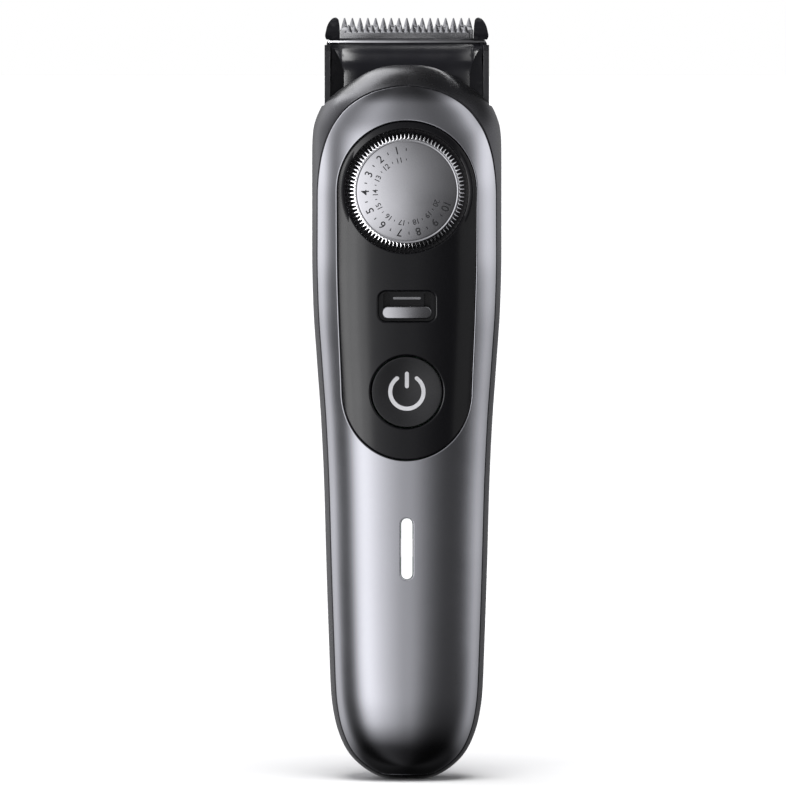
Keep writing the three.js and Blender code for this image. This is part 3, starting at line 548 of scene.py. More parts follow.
def bevel_object(o, width, seg=2, sharp=38.0):
    bm = bmesh.new()
    bm.from_mesh(o.data)
    bmesh.ops.remove_doubles(bm, verts=bm.verts, dist=2e-6)
    bmesh.ops.dissolve_limit(bm, angle_limit=math.radians(1.0), verts=bm.verts, edges=bm.edges)
    es = [e for e in bm.edges if len(e.link_faces) == 2 and e.calc_face_angle(0) > math.radians(sharp)]
    if width > 0:
        bmesh.ops.bevel(bm, geom=es, offset=width * MM, offset_type="OFFSET", segments=seg, profile=0.5, affect="EDGES", clamp_overlap=True)
    bm.to_mesh(o.data)
    bm.free()
    o.modifiers.clear()
    shade(o)
    return o


def lathe(name, profile, centre, axis="y", seg=160, bevel=0.0):
    """Closed solid from (radius, height) points about an axis through centre."""
    verts, faces, rows = [], [], []
    for r, h in profile:
        if r < 1e-6:
            rows.append([len(verts)])
            verts.append((0.0, 0.0, h))
        else:
            ids = []
            for i in range(seg):
                t = 2 * math.pi * i / seg
                ids.append(len(verts))
                verts.append((r * math.cos(t), r * math.sin(t), h))
            rows.append(ids)
    for a, b in zip(rows[:-1], rows[1:]):
        for i in range(seg):
            j = (i + 1) % seg
            if len(a) == 1 and len(b) > 1:
                faces.append((a[0], b[j], b[i]))
            elif len(b) == 1 and len(a) > 1:
                faces.append((a[i], a[j], b[0]))
            elif len(a) > 1:
                faces.append((a[i], a[j], b[j], b[i]))
    if len(rows[0]) > 1 and len(rows[-1]) > 1 and profile[0] != profile[-1]:
        a, b = rows[-1], rows[0]
        for i in range(seg):
            j = (i + 1) % seg
            faces.append((a[i], a[j], b[j], b[i]))
    out = []
    for x, y, h in verts:
        if axis == "y":
            out.append((centre[0] + x, h, centre[2] + y))
        elif axis == "z":
            out.append((centre[0] + x, centre[1] + y, h))
        else:
            out.append((h, centre[1] + x, centre[2] + y))
    bm = bmesh.new()
    vs = [bm.verts.new(v) for v in out]
    for f in faces:
        bm.faces.new([vs[i] for i in f])
    bmesh.ops.recalc_face_normals(bm, faces=bm.faces)
    return finish_bm(name, bm, bevel, 2, 40)


def join(name, objs):
    bm = bmesh.new()
    for o in objs:
        bm.from_mesh(o.data)
    me = bpy.data.meshes.new(name)
    bm.to_mesh(me)
    bm.free()
    for o in objs:
        bpy.data.objects.remove(o)
    r = bpy.data.objects.new(name, me)
    bpy.context.scene.collection.objects.link(r)
    return r


# ------------------------------------------------------------------ materials
def nodes_of(m):
    m.use_nodes = True
    t = m.node_tree
    t.nodes.clear()
    out = t.nodes.new("ShaderNodeOutputMaterial")
    p = t.nodes.new("ShaderNodeBsdfPrincipled")
    t.links.new(p.outputs[0], out.inputs[0])
    return t, p


def link(t, a, b):
    t.links.new(a, b)


def node(t, kind, **kw):
    n = t.nodes.new(kind)
    for k, v in kw.items():
        setattr(n, k, v)
    return n


def noise(t, scale, detail=3.0, rough=0.55, stretch=None):
    tc = node(t, "ShaderNodeTexCoord")
    src = tc.outputs["Object"]
    if stretch:
        mp = node(t, "ShaderNodeMapping")
        mp.inputs["Scale"].default_value = stretch
        link(t, src, mp.inputs["Vector"])
        src = mp.outputs["Vector"]
    n = node(t, "ShaderNodeTexNoise")
    n.inputs["Scale"].default_value = scale
    n.inputs["Detail"].default_value = detail
    n.inputs["Roughness"].default_value = rough
    link(t, src, n.inputs["Vector"])
    return n.outputs["Fac"]


def ranged(t, src, lo, hi, a=0.3, b=0.7):
    m = node(t, "ShaderNodeMapRange")
    m.inputs["From Min"].default_value, m.inputs["From Max"].default_value = a, b
    m.inputs["To Min"].default_value, m.inputs["To Max"].default_value = lo, hi
    link(t, src, m.inputs["Value"])
    return m.outputs["Result"]


def math_node(t, op, a, b=None):
    m = node(t, "ShaderNodeMath", operation=op)
    for i, x in enumerate((a, b)):
        if x is None:
            continue
        if isinstance(x, (int, float)):
            m.inputs[i].default_value = x
        else:
            link(t, x, m.inputs[i])
    return m.outputs[0]


def mix_color(t, fac, a, b):
    m = node(t, "ShaderNodeMix", data_type="RGBA")
    m.inputs["A"].default_value = (*a, 1) if isinstance(a, tuple) else (0, 0, 0, 1)
    m.inputs["B"].default_value = (*b, 1) if isinstance(b, tuple) else (0, 0, 0, 1)
    if not isinstance(a, tuple):
        link(t, a, m.inputs["A"])
    if not isinstance(b, tuple):
        link(t, b, m.inputs["B"])
    if isinstance(fac, (int, float)):
        m.inputs["Factor"].default_value = fac
    else:
        link(t, fac, m.inputs["Factor"])
    return m.outputs["Result"]


def bump(t, p, height, strength, distance):
    b = node(t, "ShaderNodeBump")
    b.inputs["Strength"].default_value = strength
    b.inputs["Distance"].default_value = distance
    link(t, height, b.inputs["Height"])
    link(t, b.outputs["Normal"], p.inputs["Normal"])
    return b


def finish_material(name, base, rough, metal=0.0, var=0.06, rough_var=0.05, grain=9000, grain_depth=0.000004, ior=1.5, worn=None, worn_amount=0.25,
                    coat=0.0, coat_rough=0.1, brushed=None, spec=None):
    """Moulded, coated or ground surface: blotchy colour and roughness, fine grain, rubbed edges."""
    m = bpy.data.materials.new(name)
    t, p = nodes_of(m)
    big, mid = noise(t, 45, 3), noise(t, 900, 4)
    fac = math_node(t, "ADD", ranged(t, big, -var, var), ranged(t, mid, -var * 0.5, var * 0.5))
    bright = math_node(t, "ADD", fac, 1.0)
    hsv = node(t, "ShaderNodeHueSaturation")
    hsv.inputs["Color"].default_value = (*base, 1)
    link(t, bright, hsv.inputs["Value"])
    col = hsv.outputs["Color"]
    if worn:
        geo = node(t, "ShaderNodeNewGeometry")
        edge = ranged(t, geo.outputs["Pointiness"], 0.0, 1.0, 0.52, 0.62)
        patch_noise = ranged(t, noise(t, 700, 5), 0.0, 1.0, 0.42, 0.62)
        col = mix_color(t, math_node(t, "MULTIPLY", math_node(t, "MULTIPLY", edge, patch_noise), worn_amount), col, worn)
    link(t, col, p.inputs["Base Color"])
    r = math_node(t, "ADD", ranged(t, noise(t, 160, 5), rough - rough_var, rough + rough_var), ranged(t, noise(t, 5200, 2), -rough_var * 0.4, rough_var * 0.4))
    link(t, r, p.inputs["Roughness"])
    p.inputs["Metallic"].default_value = metal
    p.inputs["IOR"].default_value = ior
    if spec is not None:
        p.inputs["Specular IOR Level"].default_value = spec
    p.inputs["Coat Weight"].default_value = coat
    p.inputs["Coat Roughness"].default_value = coat_rough
    if brushed:
        h = math_node(t, "ADD", noise(t, 260, 6, 0.7, brushed), math_node(t, "MULTIPLY", noise(t, grain, 2), 0.4))
    else:
        h = math_node(t, "ADD", noise(t, grain, 2), math_node(t, "MULTIPLY", noise(t, grain * 0.3, 3), 0.5))
    bump(t, p, h, 1.0, grain_depth)
    return m
for _n in ("Cube", "Light", "Camera"):
    if _n in bpy.data.objects:
        bpy.data.objects.remove(bpy.data.objects[_n])

# ------------------------------------------------------------------ outlines seen from the front
DIAL_Z = (bx("dial_knob")[0][2] + bx("dial_knob")[1][2]) / 2
DIAL_R, DIAL_FACE, DIAL_BACK = 12.8, bx("dial_knob")[0][1], bx("dial_knob")[1][1]
BUTTON_Z = 87.0
LED_Z = (bx("light_guide")[0][2] + bx("light_guide")[1][2]) / 2
WALL = 1.6
FASCIA_TOP = [[155.0, 0], [154.85, 2.2], [154.4, 4.8], [153.7, 7.4], [152.5, 10.0], [151.0, 12.3], [149.3, 14.2], [147.2, 15.8], [144.8, 17.2],
              [142.0, 18.3], [138.5, 19.2], [135.0, 19.7], [131.4, 19.95], [117.0, 20.0]]
SPLIT = [[1.6, -2], [1.8, 20], [2.2, 50], [2.8, 80], [3.4, 105], [4.0, 125], [4.8, 135], [6.4, 141], [9.0, 144.2], [12.5, 145.6], [30, 146]]


def fascia_outline():
    """Counter-clockwise seen from the front, as (x, z)."""
    right = []
    for z in list(np.concatenate([[0.0, 0.3, 0.62, 1.1, 1.57, 2.4, 3.38, 4.3], np.arange(5.3, 20, 1.5), np.arange(20, 110, 4.0)])):
        h = 0.05
        s = (Wf(z + h) - Wf(max(0, z - h))) / (h + min(h, z))
        L = math.hypot(1, s)
        right.append([float(Wf(z)) - 1.15 / L, z + 1.15 * s / L])
    top = [[x, z] for z, x in FASCIA_TOP[::-1]]
    right = right + top[:-1] + [[0.0, 155.0]]
    left = [[-x, z] for x, z in right[:-1][::-1]]
    return np.array(right + left)


def panel_outline(grow=0.0):
    rt, zb = 15.45 + grow, BUTTON_Z - 0.1
    p = [[rt * math.cos(a), DIAL_Z + rt * math.sin(a)] for a in np.linspace(0, math.pi, 49)]
    p += [[-(15.4 + grow), 121], [-(15.3 + grow), 112], [-(15.06 + grow), 104], [-(14.75 + grow), 96], [-(14.5 + grow), 90]]
    p += [[(14.4 + grow) * math.cos(a), zb + (15.0 + grow) * math.sin(a)] for a in np.linspace(math.pi, 2 * math.pi, 49)[1:-1]]
    p += [[14.4 + grow, zb], [14.5 + grow, 90], [14.75 + grow, 96], [15.06 + grow, 104], [15.3 + grow, 112], [15.4 + grow, 121]]
    return np.array(p)


def circle(cx, cz, r, n=180, rz=None):
    a = np.linspace(0, 2 * math.pi, n, endpoint=False)
    return np.stack([cx + r * np.cos(a), cz + (rz or r) * np.sin(a)], 1)


def round_rect(cx, cz, hw, hh, r, step=0.12):
    out = []
    for sx, sz, a0 in ((1, 1, 0), (-1, 1, 90), (-1, -1, 180), (1, -1, 270)):
        for a in np.linspace(a0, a0 + 90, max(5, int(r * 1.57 / step))):
            t = math.radians(a)
            out.append([cx + sx * (hw - r) + r * math.cos(t), cz + sz * (hh - r) + r * math.sin(t)])
    return resample(np.array(out), step, True)


def on_body(pts, step=0.3, width=0.0):
    d = dom_front(pts)
    return soften(d, width, step, True, body) if width else resample(d, step, True, body)


FASCIA_LINE = on_body(fascia_outline(), 0.34, 2.4)

# ------------------------------------------------------------------ silver fascia
fascia = shell("fascia_skin", body, [
    Chain(FASCIA_LINE, lip=0.42, rows=5),
    Chain(on_body(panel_outline(0.14), 0.3, 1.0)[::-1], lip=0.3, rows=4),
    Chain(on_body(round_rect(0, LED_Z, 1.45, 6.9, 1.43), 0.18)[::-1], lip=0.22, rows=4),
], 0.75, WALL - 0.02)

# ------------------------------------------------------------------ dark frame between the fascia and the back cover
split_y = pchip(np.array([q[1] for q in SPLIT], float), np.array([q[0] for q in SPLIT], float))


def split_domain(sign, grow=0.0):
    """Side line between frame and back cover, from the bottom to the back centre, as domain points for +x (sign 1) or -x."""
    out = []
    fine = resample(catmull([[q[0] + grow, q[1] - grow * (1 if q[1] > 130 else 0)] for q in SPLIT[:-1]] + [[16.0, 145.95], [18.5, 146.0]], False, 12), 0.4, False)
    for y, z in fine:
        if z < 0:
            continue
        b, w, n = Bf(z), Wf(z), Nf(z)
        if y >= b:
            break
        x = w * (1 - (y / b) ** n) ** (1 / n)
        out.append([math.atan2(y, sign * x) * RS, v_of(z)])
    y0 = 1.6 + 0.01 + grow
    first = [math.atan2(y0, sign * float(Wf(0)) * (1 - (y0 / float(Bf(0))) ** float(Nf(0))) ** (1 / float(Nf(0)))) * RS, 0.0]
    out = [first] + out
    out.append([math.pi / 2 * RS, v_of(145.98 - grow)])
    return np.array(out)


right = split_domain(1)
left = split_domain(-1)
left[:, 0] -= 2 * math.pi * RS
left[-1, 0] = -1.5 * math.pi * RS
bottom_a, bottom_b = left[0], right[0]
n_bottom = 90
bottom = np.stack([np.linspace(bottom_a[0], bottom_b[0], n_bottom), np.zeros(n_bottom)], 1)
frame_low = np.vstack([left[::-1], bottom[1:-1], right])
frame_low = resample(frame_low, 0.36, False, body)


def head_rim():
    """Top edge of the frame, walked from the back centre round by the front (u falling)."""
    out = []
    zc = 150.4
    u = np.linspace(0.5 * math.pi, -1.5 * math.pi, 721)
    # height on each ray where the frame ends: level at the back, up along the plane y = -3.95 in front
    for t in u:
        zz = np.linspace(zc, ZTOP, 600)
        p = body(np.stack([np.full(600, t * RS), v_of(zz)], 1))
        front = p[:, 1] < -3.95
        if front[0]:
            k = np.argmax(~front) if (~front).any() else 599
            out.append([t * RS, v_of(zz[max(k - 1, 0)] if k < 599 else ZTOP)])
        else:
            out.append([t * RS, v_of(zc)])
    return np.array(out)


rim = head_rim()
rim = soften(resample(rim, 0.33, False, body), 0.7, 0.33, False, body)
rim[0, 0], rim[-1, 0] = 0.5 * math.pi * RS, -1.5 * math.pi * RS
seam_rows = list(np.linspace(v_of(145.98) + 0.7, v_of(150.4) - 0.7, 6))


def head_clear(p):
    """True where a point of the frame's inner side stays clear of the blade head and the comb arms."""
    x, y, z = np.abs(p[:, 0]), p[:, 1], p[:, 2]
    plan = np.array([[17.1, -3.9], [17.1, 3.3], [16.8, 5.7], [15.6, 8.0], [13.3, 9.8], [9.8, 11.1], [5.3, 11.75], [-5.3, 11.75], [-9.8, 11.1], [-13.3, 9.8],
                     [-15.6, 8.0], [-16.8, 5.7], [-17.1, 3.3], [-17.1, -3.9]])
    hit = inside(p[:, :2], [plan]) & (z > 143.4)
    hit |= (x < 18.6) & (y > -3.95) & (y < 1.75) & (z > 143.4)
    hit |= (y > -3.93) & (z > 150.6) & (x < 18.6)
    return ~hit


def frame_limit(P, n, wall):
    d = np.full(len(P), 0.12)
    live = np.ones(len(P), bool)
    for k in range(1, 40):
        t = 0.12 + (wall - 0.12) * k / 39
        ok = head_clear(P - n * t)
        live &= ok
        d[live] = t
    return d


mid = shell("frame_skin", body, [
    Chain(frame_low, lip=0.28, rows=3, closed=False, gap=0.03),
    Chain(rim, lip=0.22, rows=3, closed=False),
    Chain(on_body(fascia_outline(), 0.34, 2.4)[::-1], lip=0.3, rows=4, gap=0.09),
], 0.8, WALL - 0.02, limit=frame_limit, seams=(-1.5 * math.pi * RS, 0.5 * math.pi * RS, seam_rows), vmax=VTOP)

# ------------------------------------------------------------------ back cover with moulded grip ribs
left_b, right_b = split_domain(-1, 0.10), split_domain(1, 0.10)
left_b[-1, 0] = right_b[-1, 0] = 0.5 * math.pi * RS
bot = np.stack([np.linspace(right_b[0][0], left_b[0][0], 60), np.zeros(60)], 1)
back_loop = np.vstack([bot[:-1], left_b[:-1], right_b[::-1][:-1]])
back_loop = soften(resample(back_loop, 0.36, True, body), 1.0, 0.36, True, body)
back_loop[:, 1] = np.maximum(back_loop[:, 1], 0)


def grip_height(P):
    """Raised ribs across the back of the grip, each a shallow arc, fading out towards the sides and ends."""
    x, z = P[:, 0], P[:, 2]
    on = np.clip((P[:, 1] - 3.0) / 3.0, 0, 1)
    half = 10.6 + 2.2 * np.sin(np.clip((z - 16) / 96, 0, 1) * math.pi)
    zz = z - 0.030 * x * x
    side = 1 / (1 + np.exp((np.abs(x) - half) / 0.28))
    ends = 1 / (1 + np.exp(-(zz - 17.0) / 0.5)) / (1 + np.exp((zz - 112.5) / 0.5))
    ph = ((zz - 18.2) / 3.5) % 1.0
    d = np.minimum(ph, 1 - ph) * 3.5
    rib = 1 / (1 + np.exp((d - 0.78) / 0.13))
    return 0.42 * rib * side * ends * on * on * (3 - 2 * on)


back = shell("back_skin", body, [Chain(back_loop, lip=0.28, rows=3)], 0.5, WALL - 0.02, height=grip_height, vmax=VTOP, back_coarse=2.6)

# ------------------------------------------------------------------ black control panel, with the dial's cup
POCKET = (0.0, 106.02, 6.35, 3.38, 1.75)
panel = shell("panel_skin", body, [
    Chain(on_body(panel_outline(0.0), 0.3, 1.0), lip=0.34, rows=5),
    Chain(on_body(circle(0, DIAL_Z, 13.75), 0.3)[::-1], lip=0.36, rows=6, back=-13.6),
    Chain(on_body(circle(0, BUTTON_Z, 8.12), 0.2)[::-1], lip=0.42, rows=6, back=-13.2),
    Chain(on_body(round_rect(*POCKET), 0.14)[::-1], lip=0.40, rows=6, back=-13.9),
], 0.6, WALL - 0.02)
cup = lathe("cup", [(3.3, -12.2), (3.3, -13.4), (13.82, -13.4), (13.82, -15.1), (14.75, -15.1), (14.75, -12.2)], (0, 0, DIAL_Z), "y", 160, 0.12)
panel_cup = join("panel_cup", [cup])

# ------------------------------------------------------------------ status light window
led = shell("light_window", body, [Chain(on_body(round_rect(0, LED_Z, 1.24, 6.70, 1.22), 0.14), lip=0.35, rows=5)], 0.3, 2.2, height=lambda P: -0.03 + 0 * P[:, 0], coarse=1.2)


# ------------------------------------------------------------------ power button: a dished cap in a round bezel
def front_plane(d):
    return np.stack([d[:, 0], front_y(d[:, 0], d[:, 1]), d[:, 1]], 1)


def dish(P):
    r = np.hypot(P[:, 0], P[:, 2] - BUTTON_Z) / 7.9
    return -0.85 * np.clip(1 - r * r, 0, 1) ** 1.15 - 0.02


button = shell("button_cap", front_plane, [Chain(circle(0, BUTTON_Z, 7.84, 260), lip=0.24, rows=5, back=-13.3)], 0.42, 2.4, height=dish)
stem = lathe("stem", [(0, -13.9), (1.6, -13.9), (1.6, -10.65), (0, -10.65)], (0, 0, BUTTON_Z), "y", 48, 0.1)


def ring_mark():
    """Power sign: an open ring and a bar, printed proud of the dish by a few hundredths."""
    loops, w, R = [], 0.45, 3.73
    a0, a1 = math.radians(90 + 36), math.radians(90 + 324)
    aa = np.linspace(a0, a1, 150)
    outer_e = [[(R + w) * math.cos(a), (R + w) * math.sin(a)] for a in aa]
    inner_e = [[(R - w) * math.cos(a), (R - w) * math.sin(a)] for a in aa[::-1]]
    cap1 = [[R * math.cos(a1) + w * math.cos(a1 + b), R * math.sin(a1) + w * math.sin(a1 + b)] for b in np.linspace(0, math.pi, 12)[1:-1]]
    cap0 = [[R * math.cos(a0) + w * math.cos(a0 + math.pi + b), R * math.sin(a0) + w * math.sin(a0 + math.pi + b)] for b in np.linspace(0, math.pi, 12)[1:-1]]
    loops.append(np.array(outer_e + cap1 + inner_e + cap0) + [0, BUTTON_Z])
    bar = [[w * math.cos(a), 4.05 + w * math.sin(a)] for a in np.linspace(0, math.pi, 14)] + [[w * math.cos(a), 1.25 + w * math.sin(a)] for a in np.linspace(math.pi, 2 * math.pi, 14)]
    loops.append(resample(np.array(bar) + [0, BUTTON_Z], 0.12, True))
    return loops


marks = []
for k, lp in enumerate(ring_mark()):
    marks.append(shell("mark%d" % k, front_plane, [Chain(lp, lip=0.012, rows=1)], 0.22, 0.05, height=lambda P: dish(P) + 0.018, coarse=0.45, follow=True))

# ------------------------------------------------------------------ dial knob: a spun domed face, a proud rim and 88 cut teeth
TEETH = 88
NS = TEETH * 10
DOME = 0.0098


def dial_dome(r):
    return DIAL_FACE - 0.02 + DOME * r * r


def knob_mesh():
    th = np.arange(NS) * 2 * math.pi / NS
    ph = (th * TEETH / (2 * math.pi)) % 1.0
    tri = 1 - 2 * np.abs(ph - 0.5)
    t = np.clip((tri - 0.06) / 0.80, 0, 1)
    t = t * t * (3 - 2 * t) * 0.35 + t * 0.65
    edge = dial_dome(11.0)
    smooth_rows = [(r, dial_dome(r)) for r in (10.2, 10.7, 10.98)] + [(11.04, edge + 0.02), (11.10, edge + 0.036), (11.16, edge + 0.028), (11.22, edge + 0.002),
                   (11.30, edge - 0.02), (11.42, edge - 0.01), (11.52, edge + 0.03), (11.60, edge + 0.09)]
    f = edge
    tips = [(11.68, f + 0.12), (11.85, f + 0.26), (12.15, f + 0.53), (12.45, f + 0.81), (12.66, f + 1.01), (12.76, f + 1.16), (12.8, f + 1.36), (12.8, f + 2.2), (12.8, -14.72), (12.76, -14.42),
            (12.62, -14.22), (12.38, -14.1), (12.15, -14.02)]
    vals = [(11.66, f + 0.15), (11.72, f + 0.34), (11.76, f + 0.66), (11.80, f + 0.95), (11.82, f + 1.15), (11.83, f + 1.3), (11.85, f + 1.5), (11.85, f + 2.2), (11.85, -14.72), (11.84, -14.5),
            (11.82, -14.3), (11.8, -14.15), (11.75, -14.02)]
    verts, rows = [], []

    def ring(rr, yy, n=NS):
        ids = list(range(len(verts), len(verts) + n))
        a = np.arange(n) * 2 * math.pi / n
        rr, yy = np.broadcast_to(rr, n), np.broadcast_to(yy, n)
        for k in range(n):
            verts.append((rr[k] * math.sin(a[k]), yy[k], DIAL_Z + rr[k] * math.cos(a[k])))
        rows.append(ids)
    verts.append((0, float(dial_dome(0)), DIAL_Z))
    rows.append([0])
    for r in (0.6, 1.6, 3.0, 4.5, 6.0, 7.5, 8.8, 9.7):
        ring(r, float(dial_dome(r)), 176)
    for r, y in smooth_rows:
        ring(r, float(y))
    for (ra, ya), (rb, yb) in zip(tips, vals):
        ring(rb + (ra - rb) * t, yb + (ya - yb) * t)
    ring(11.4, -14.0, NS)
    for r, y in ((9.5, -14.0), (6.0, -14.0), (2.5, -14.0), (2.28, -14.15), (2.28, -16.2)):
        ring(r, y, 176)
    verts.append((0, -16.2, DIAL_Z))
    rows.append([len(verts) - 1])
    faces = []
    for a, b in zip(rows[:-1], rows[1:]):
        na, nb = len(a), len(b)
        if na == 1:
            faces += [(a[0], b[k], b[(k + 1) % nb]) for k in range(nb)]
        elif nb == 1:
            faces += [(a[(k + 1) % na], a[k], b[0]) for k in range(na)]
        elif na == nb:
            faces += [(a[k], b[k], b[(k + 1) % nb], a[(k + 1) % na]) for k in range(na)]
        elif nb > na:
            q = nb // na
            for k in range(na):
                k2 = (k + 1) % na
                m = q // 2
                faces.append((a[k], b[k * q], b[k * q + 1], b[k * q + m]))
                for j in range(m, q):
                    pass
                faces[-1] = (a[k], *[b[(k * q + j) % nb] for j in range(m + 1)])
                faces.append((a[k], b[k * q + m], a[k2]))
                faces.append((a[k2], *[b[(k * q + j) % nb] for j in range(m, q + 1)]))
        else:
            q = na // nb
            for k in range(nb):
                k2 = (k + 1) % nb
                m = q // 2
                faces.append((b[k], *[a[(k * q + j) % na] for j in range(m, -1, -1)]))
                faces.append((b[k], b[k2], a[k * q + m]))
                faces.append((b[k2], *[a[(k * q + j) % na] for j in range(q, m - 1, -1)]))
    bm = bmesh.new()
    vs = [bm.verts.new(v) for v in verts]
    for f_ in faces:
        bm.faces.new([vs[i] for i in f_])
    bmesh.ops.recalc_face_normals(bm, faces=bm.faces)
    bmesh.ops.scale(bm, verts=bm.verts, vec=(MM, MM, MM))
    me = bpy.data.meshes.new("dial_knob_fine")
    bm.to_mesh(me)
    bm.free()
    o = bpy.data.objects.new("dial_knob_fine", me)
    bpy.context.scene.collection.objects.link(o)
    me.polygons.foreach_set("use_smooth", [True] * len(me.polygons))
    me.set_sharp_from_angle(angle=math.radians(62))
    return o


knob = knob_mesh()


def text_piece(name, entries):
    """Printed figures: each is (text, x, z, turn, height), laid on the dial's dome as a thin closed layer."""
    out = []
    for k, (s, x, z, turn, h) in enumerate(entries):
        cu = bpy.data.curves.new("t%d" % k, "FONT")
        cu.body, cu.align_x, cu.align_y = s, "CENTER", "CENTER"
        cu.size, cu.extrude, cu.resolution_u = h / 0.70, 0.012, 4
        cu.space_character = 0.92
        cu.offset = 0.022 if h > 1.4 else 0.014
        o = bpy.data.objects.new("t%d" % k, cu)
        bpy.context.scene.collection.objects.link(o)
        bpy.context.view_layer.update()
        me = bpy.data.meshes.new_from_object(o.evaluated_get(bpy.context.evaluated_depsgraph_get()))
        bpy.data.objects.remove(o)
        bm = bmesh.new()
        bm.from_mesh(me)
        bmesh.ops.remove_doubles(bm, verts=bm.verts, dist=1e-5)
        bm.to_mesh(me)
        bm.free()
        co = np.zeros(len(me.vertices) * 3)
        me.vertices.foreach_get("co", co)
        co = co.reshape(-1, 3)
        mid = (co[:, :2].max(0) + co[:, :2].min(0)) / 2
        co[:, :2] -= mid
        c, sn = math.cos(turn), math.sin(turn)
        X = x + co[:, 0] * c - co[:, 1] * sn
        Z = z + co[:, 0] * sn + co[:, 1] * c
        Y = dial_dome(np.hypot(X, Z)) - 0.006 - co[:, 2]
        me.vertices.foreach_set("co", (np.stack([X, Y, Z + DIAL_Z], 1) * MM).astype(np.float32).ravel())
        me.update()
        o = bpy.data.objects.new("txt%d" % k, me)
        bpy.context.scene.collection.objects.link(o)
        out.append(o)
    return join(name, out)


def dial_scale():
    e, ticks = [], []
    for k in range(10):
        a = math.radians(13.9 + 26.0 * k)
        e.append((str(k + 1), -9.28 * math.sin(a), 9.28 * math.cos(a), a, 1.72))
        e.append((str(k + 11), -7.02 * math.sin(a), 7.02 * math.cos(a), a, 1.18))
        b = a - math.radians(13.0)
        ticks.append((b, 9.28, 0.30, 0.11))
        ticks.append((b, 7.05, 0.22, 0.08))
    t = text_piece("figures", e)
    made = [t]
    for k, (b, r, hh, hw) in enumerate(ticks):
        bm = bmesh.new()
        vs = []
        for dx, dz in ((-hw, -hh), (hw, -hh), (hw, hh), (-hw, hh)):
            x = -(r + dz) * math.sin(b) + dx * math.cos(b)
            z = (r + dz) * math.cos(b) + dx * math.sin(b)
            vs.append((x, z))
        front = [bm.verts.new((x, dial_dome(math.hypot(x, z)) - 0.018, z + DIAL_Z)) for x, z in vs]
        rear = [bm.verts.new((x, dial_dome(math.hypot(x, z)) + 0.006, z + DIAL_Z)) for x, z in vs]
        bm.faces.new(front)
        bm.faces.new(rear[::-1])
        for i in range(4):
            bm.faces.new((front[i], rear[i], rear[(i + 1) % 4], front[(i + 1) % 4]))
        bmesh.ops.recalc_face_normals(bm, faces=bm.faces)
        made.append(finish_bm("tick%d" % k, bm))
    return join("dial_scale", made)


scale = dial_scale()

# ------------------------------------------------------------------ dial lock: pocket tray, sliding bar and its mark
tray = prism("tray", round_rect(0, 106.02, 6.22, 3.26, 1.62, 0.15), (0, 2), -15.2, -13.3, 0.0)
flange = prism("flange", round_rect(0, 106.02, 7.7, 4.5, 1.62, 0.2), (0, 2), -13.86, -13.2, 0.0)
boolean(tray, flange, "UNION")
for sx in (-1, 1):
    boolean(tray, prism("slot", round_rect(sx * 4.5, 106.25, 0.72, 2.85, 0.5, 0.1), (0, 2), -20, -10))
bevel_object(tray, 0.07, 2)
tray.name = "pocket_tray"


def bar_plane(d):
    return np.stack([d[:, 0], -17.02 + d[:, 0] ** 2 / 38.0 + 0.02 * (d[:, 1] - 104.65) ** 2, d[:, 1]], 1)


bar = shell("lock_bar", bar_plane, [Chain(round_rect(0, 104.65, 5.55, 1.4, 1.36, 0.1), lip=0.30, rows=6, back=-15.36)], 0.26, 1.0, coarse=0.9)
legs = [prism("leg", round_rect(sx * 4.5, 104.65, 0.48, 0.93, 0.2, 0.1), (0, 2), -15.55, -12.32, 0.05) for sx in (-1, 1)]
shutter = prism("shutter", round_rect(0, 105.0, 5.35, 5.0, 0.4, 0.2), (0, 2), -13.14, -12.9, 0.0)
lock_piece = [bar] + legs
lock_line = shell("lock_mark", lambda d: np.stack([d[:, 0], np.full(len(d), -15.215), d[:, 1]], 1), [Chain(round_rect(0, 107.8, 3.1, 0.26, 0.25, 0.06), lip=0.01, rows=1)], 0.2, 0.03, coarse=0.4)

# ------------------------------------------------------------------ blades, in the frame of the sloping blade plane
SLOPE, TIP_Y, TIP_Z = math.radians(22), 4.0, bx("fixed_blade")[1][2]
BLADE = Matrix(((1, 0, 0, 0), (0, -math.sin(SLOPE), -math.cos(SLOPE), TIP_Y), (0, math.cos(SLOPE), -math.sin(SLOPE), TIP_Z), (0, 0, 0, 1)))


def back_line(z):
    return TIP_Y + (TIP_Z - z) * math.tan(SLOPE)


def tooth_outline(pitch, count, base, tip, hb, ht, curve=0.72):
    pts = []
    for i in range(count):
        x = (i - (count - 1) / 2) * pitch
        flank = []
        for s in np.linspace(0, 1, 9):
            v = base + (tip - ht * 0.9 - base) * s
            flank.append((hb + (ht - hb) * s ** curve, v))
        cap = [(ht * math.cos(a), tip - ht * 0.9 + ht * 0.9 * math.sin(a)) for a in np.linspace(0, math.pi, 7)[1:-1]]
        pts += [(x - h, v) for h, v in flank] + [(x - c, v) for c, v in cap] + [(x + h, v) for h, v in flank[::-1]]
    return pts


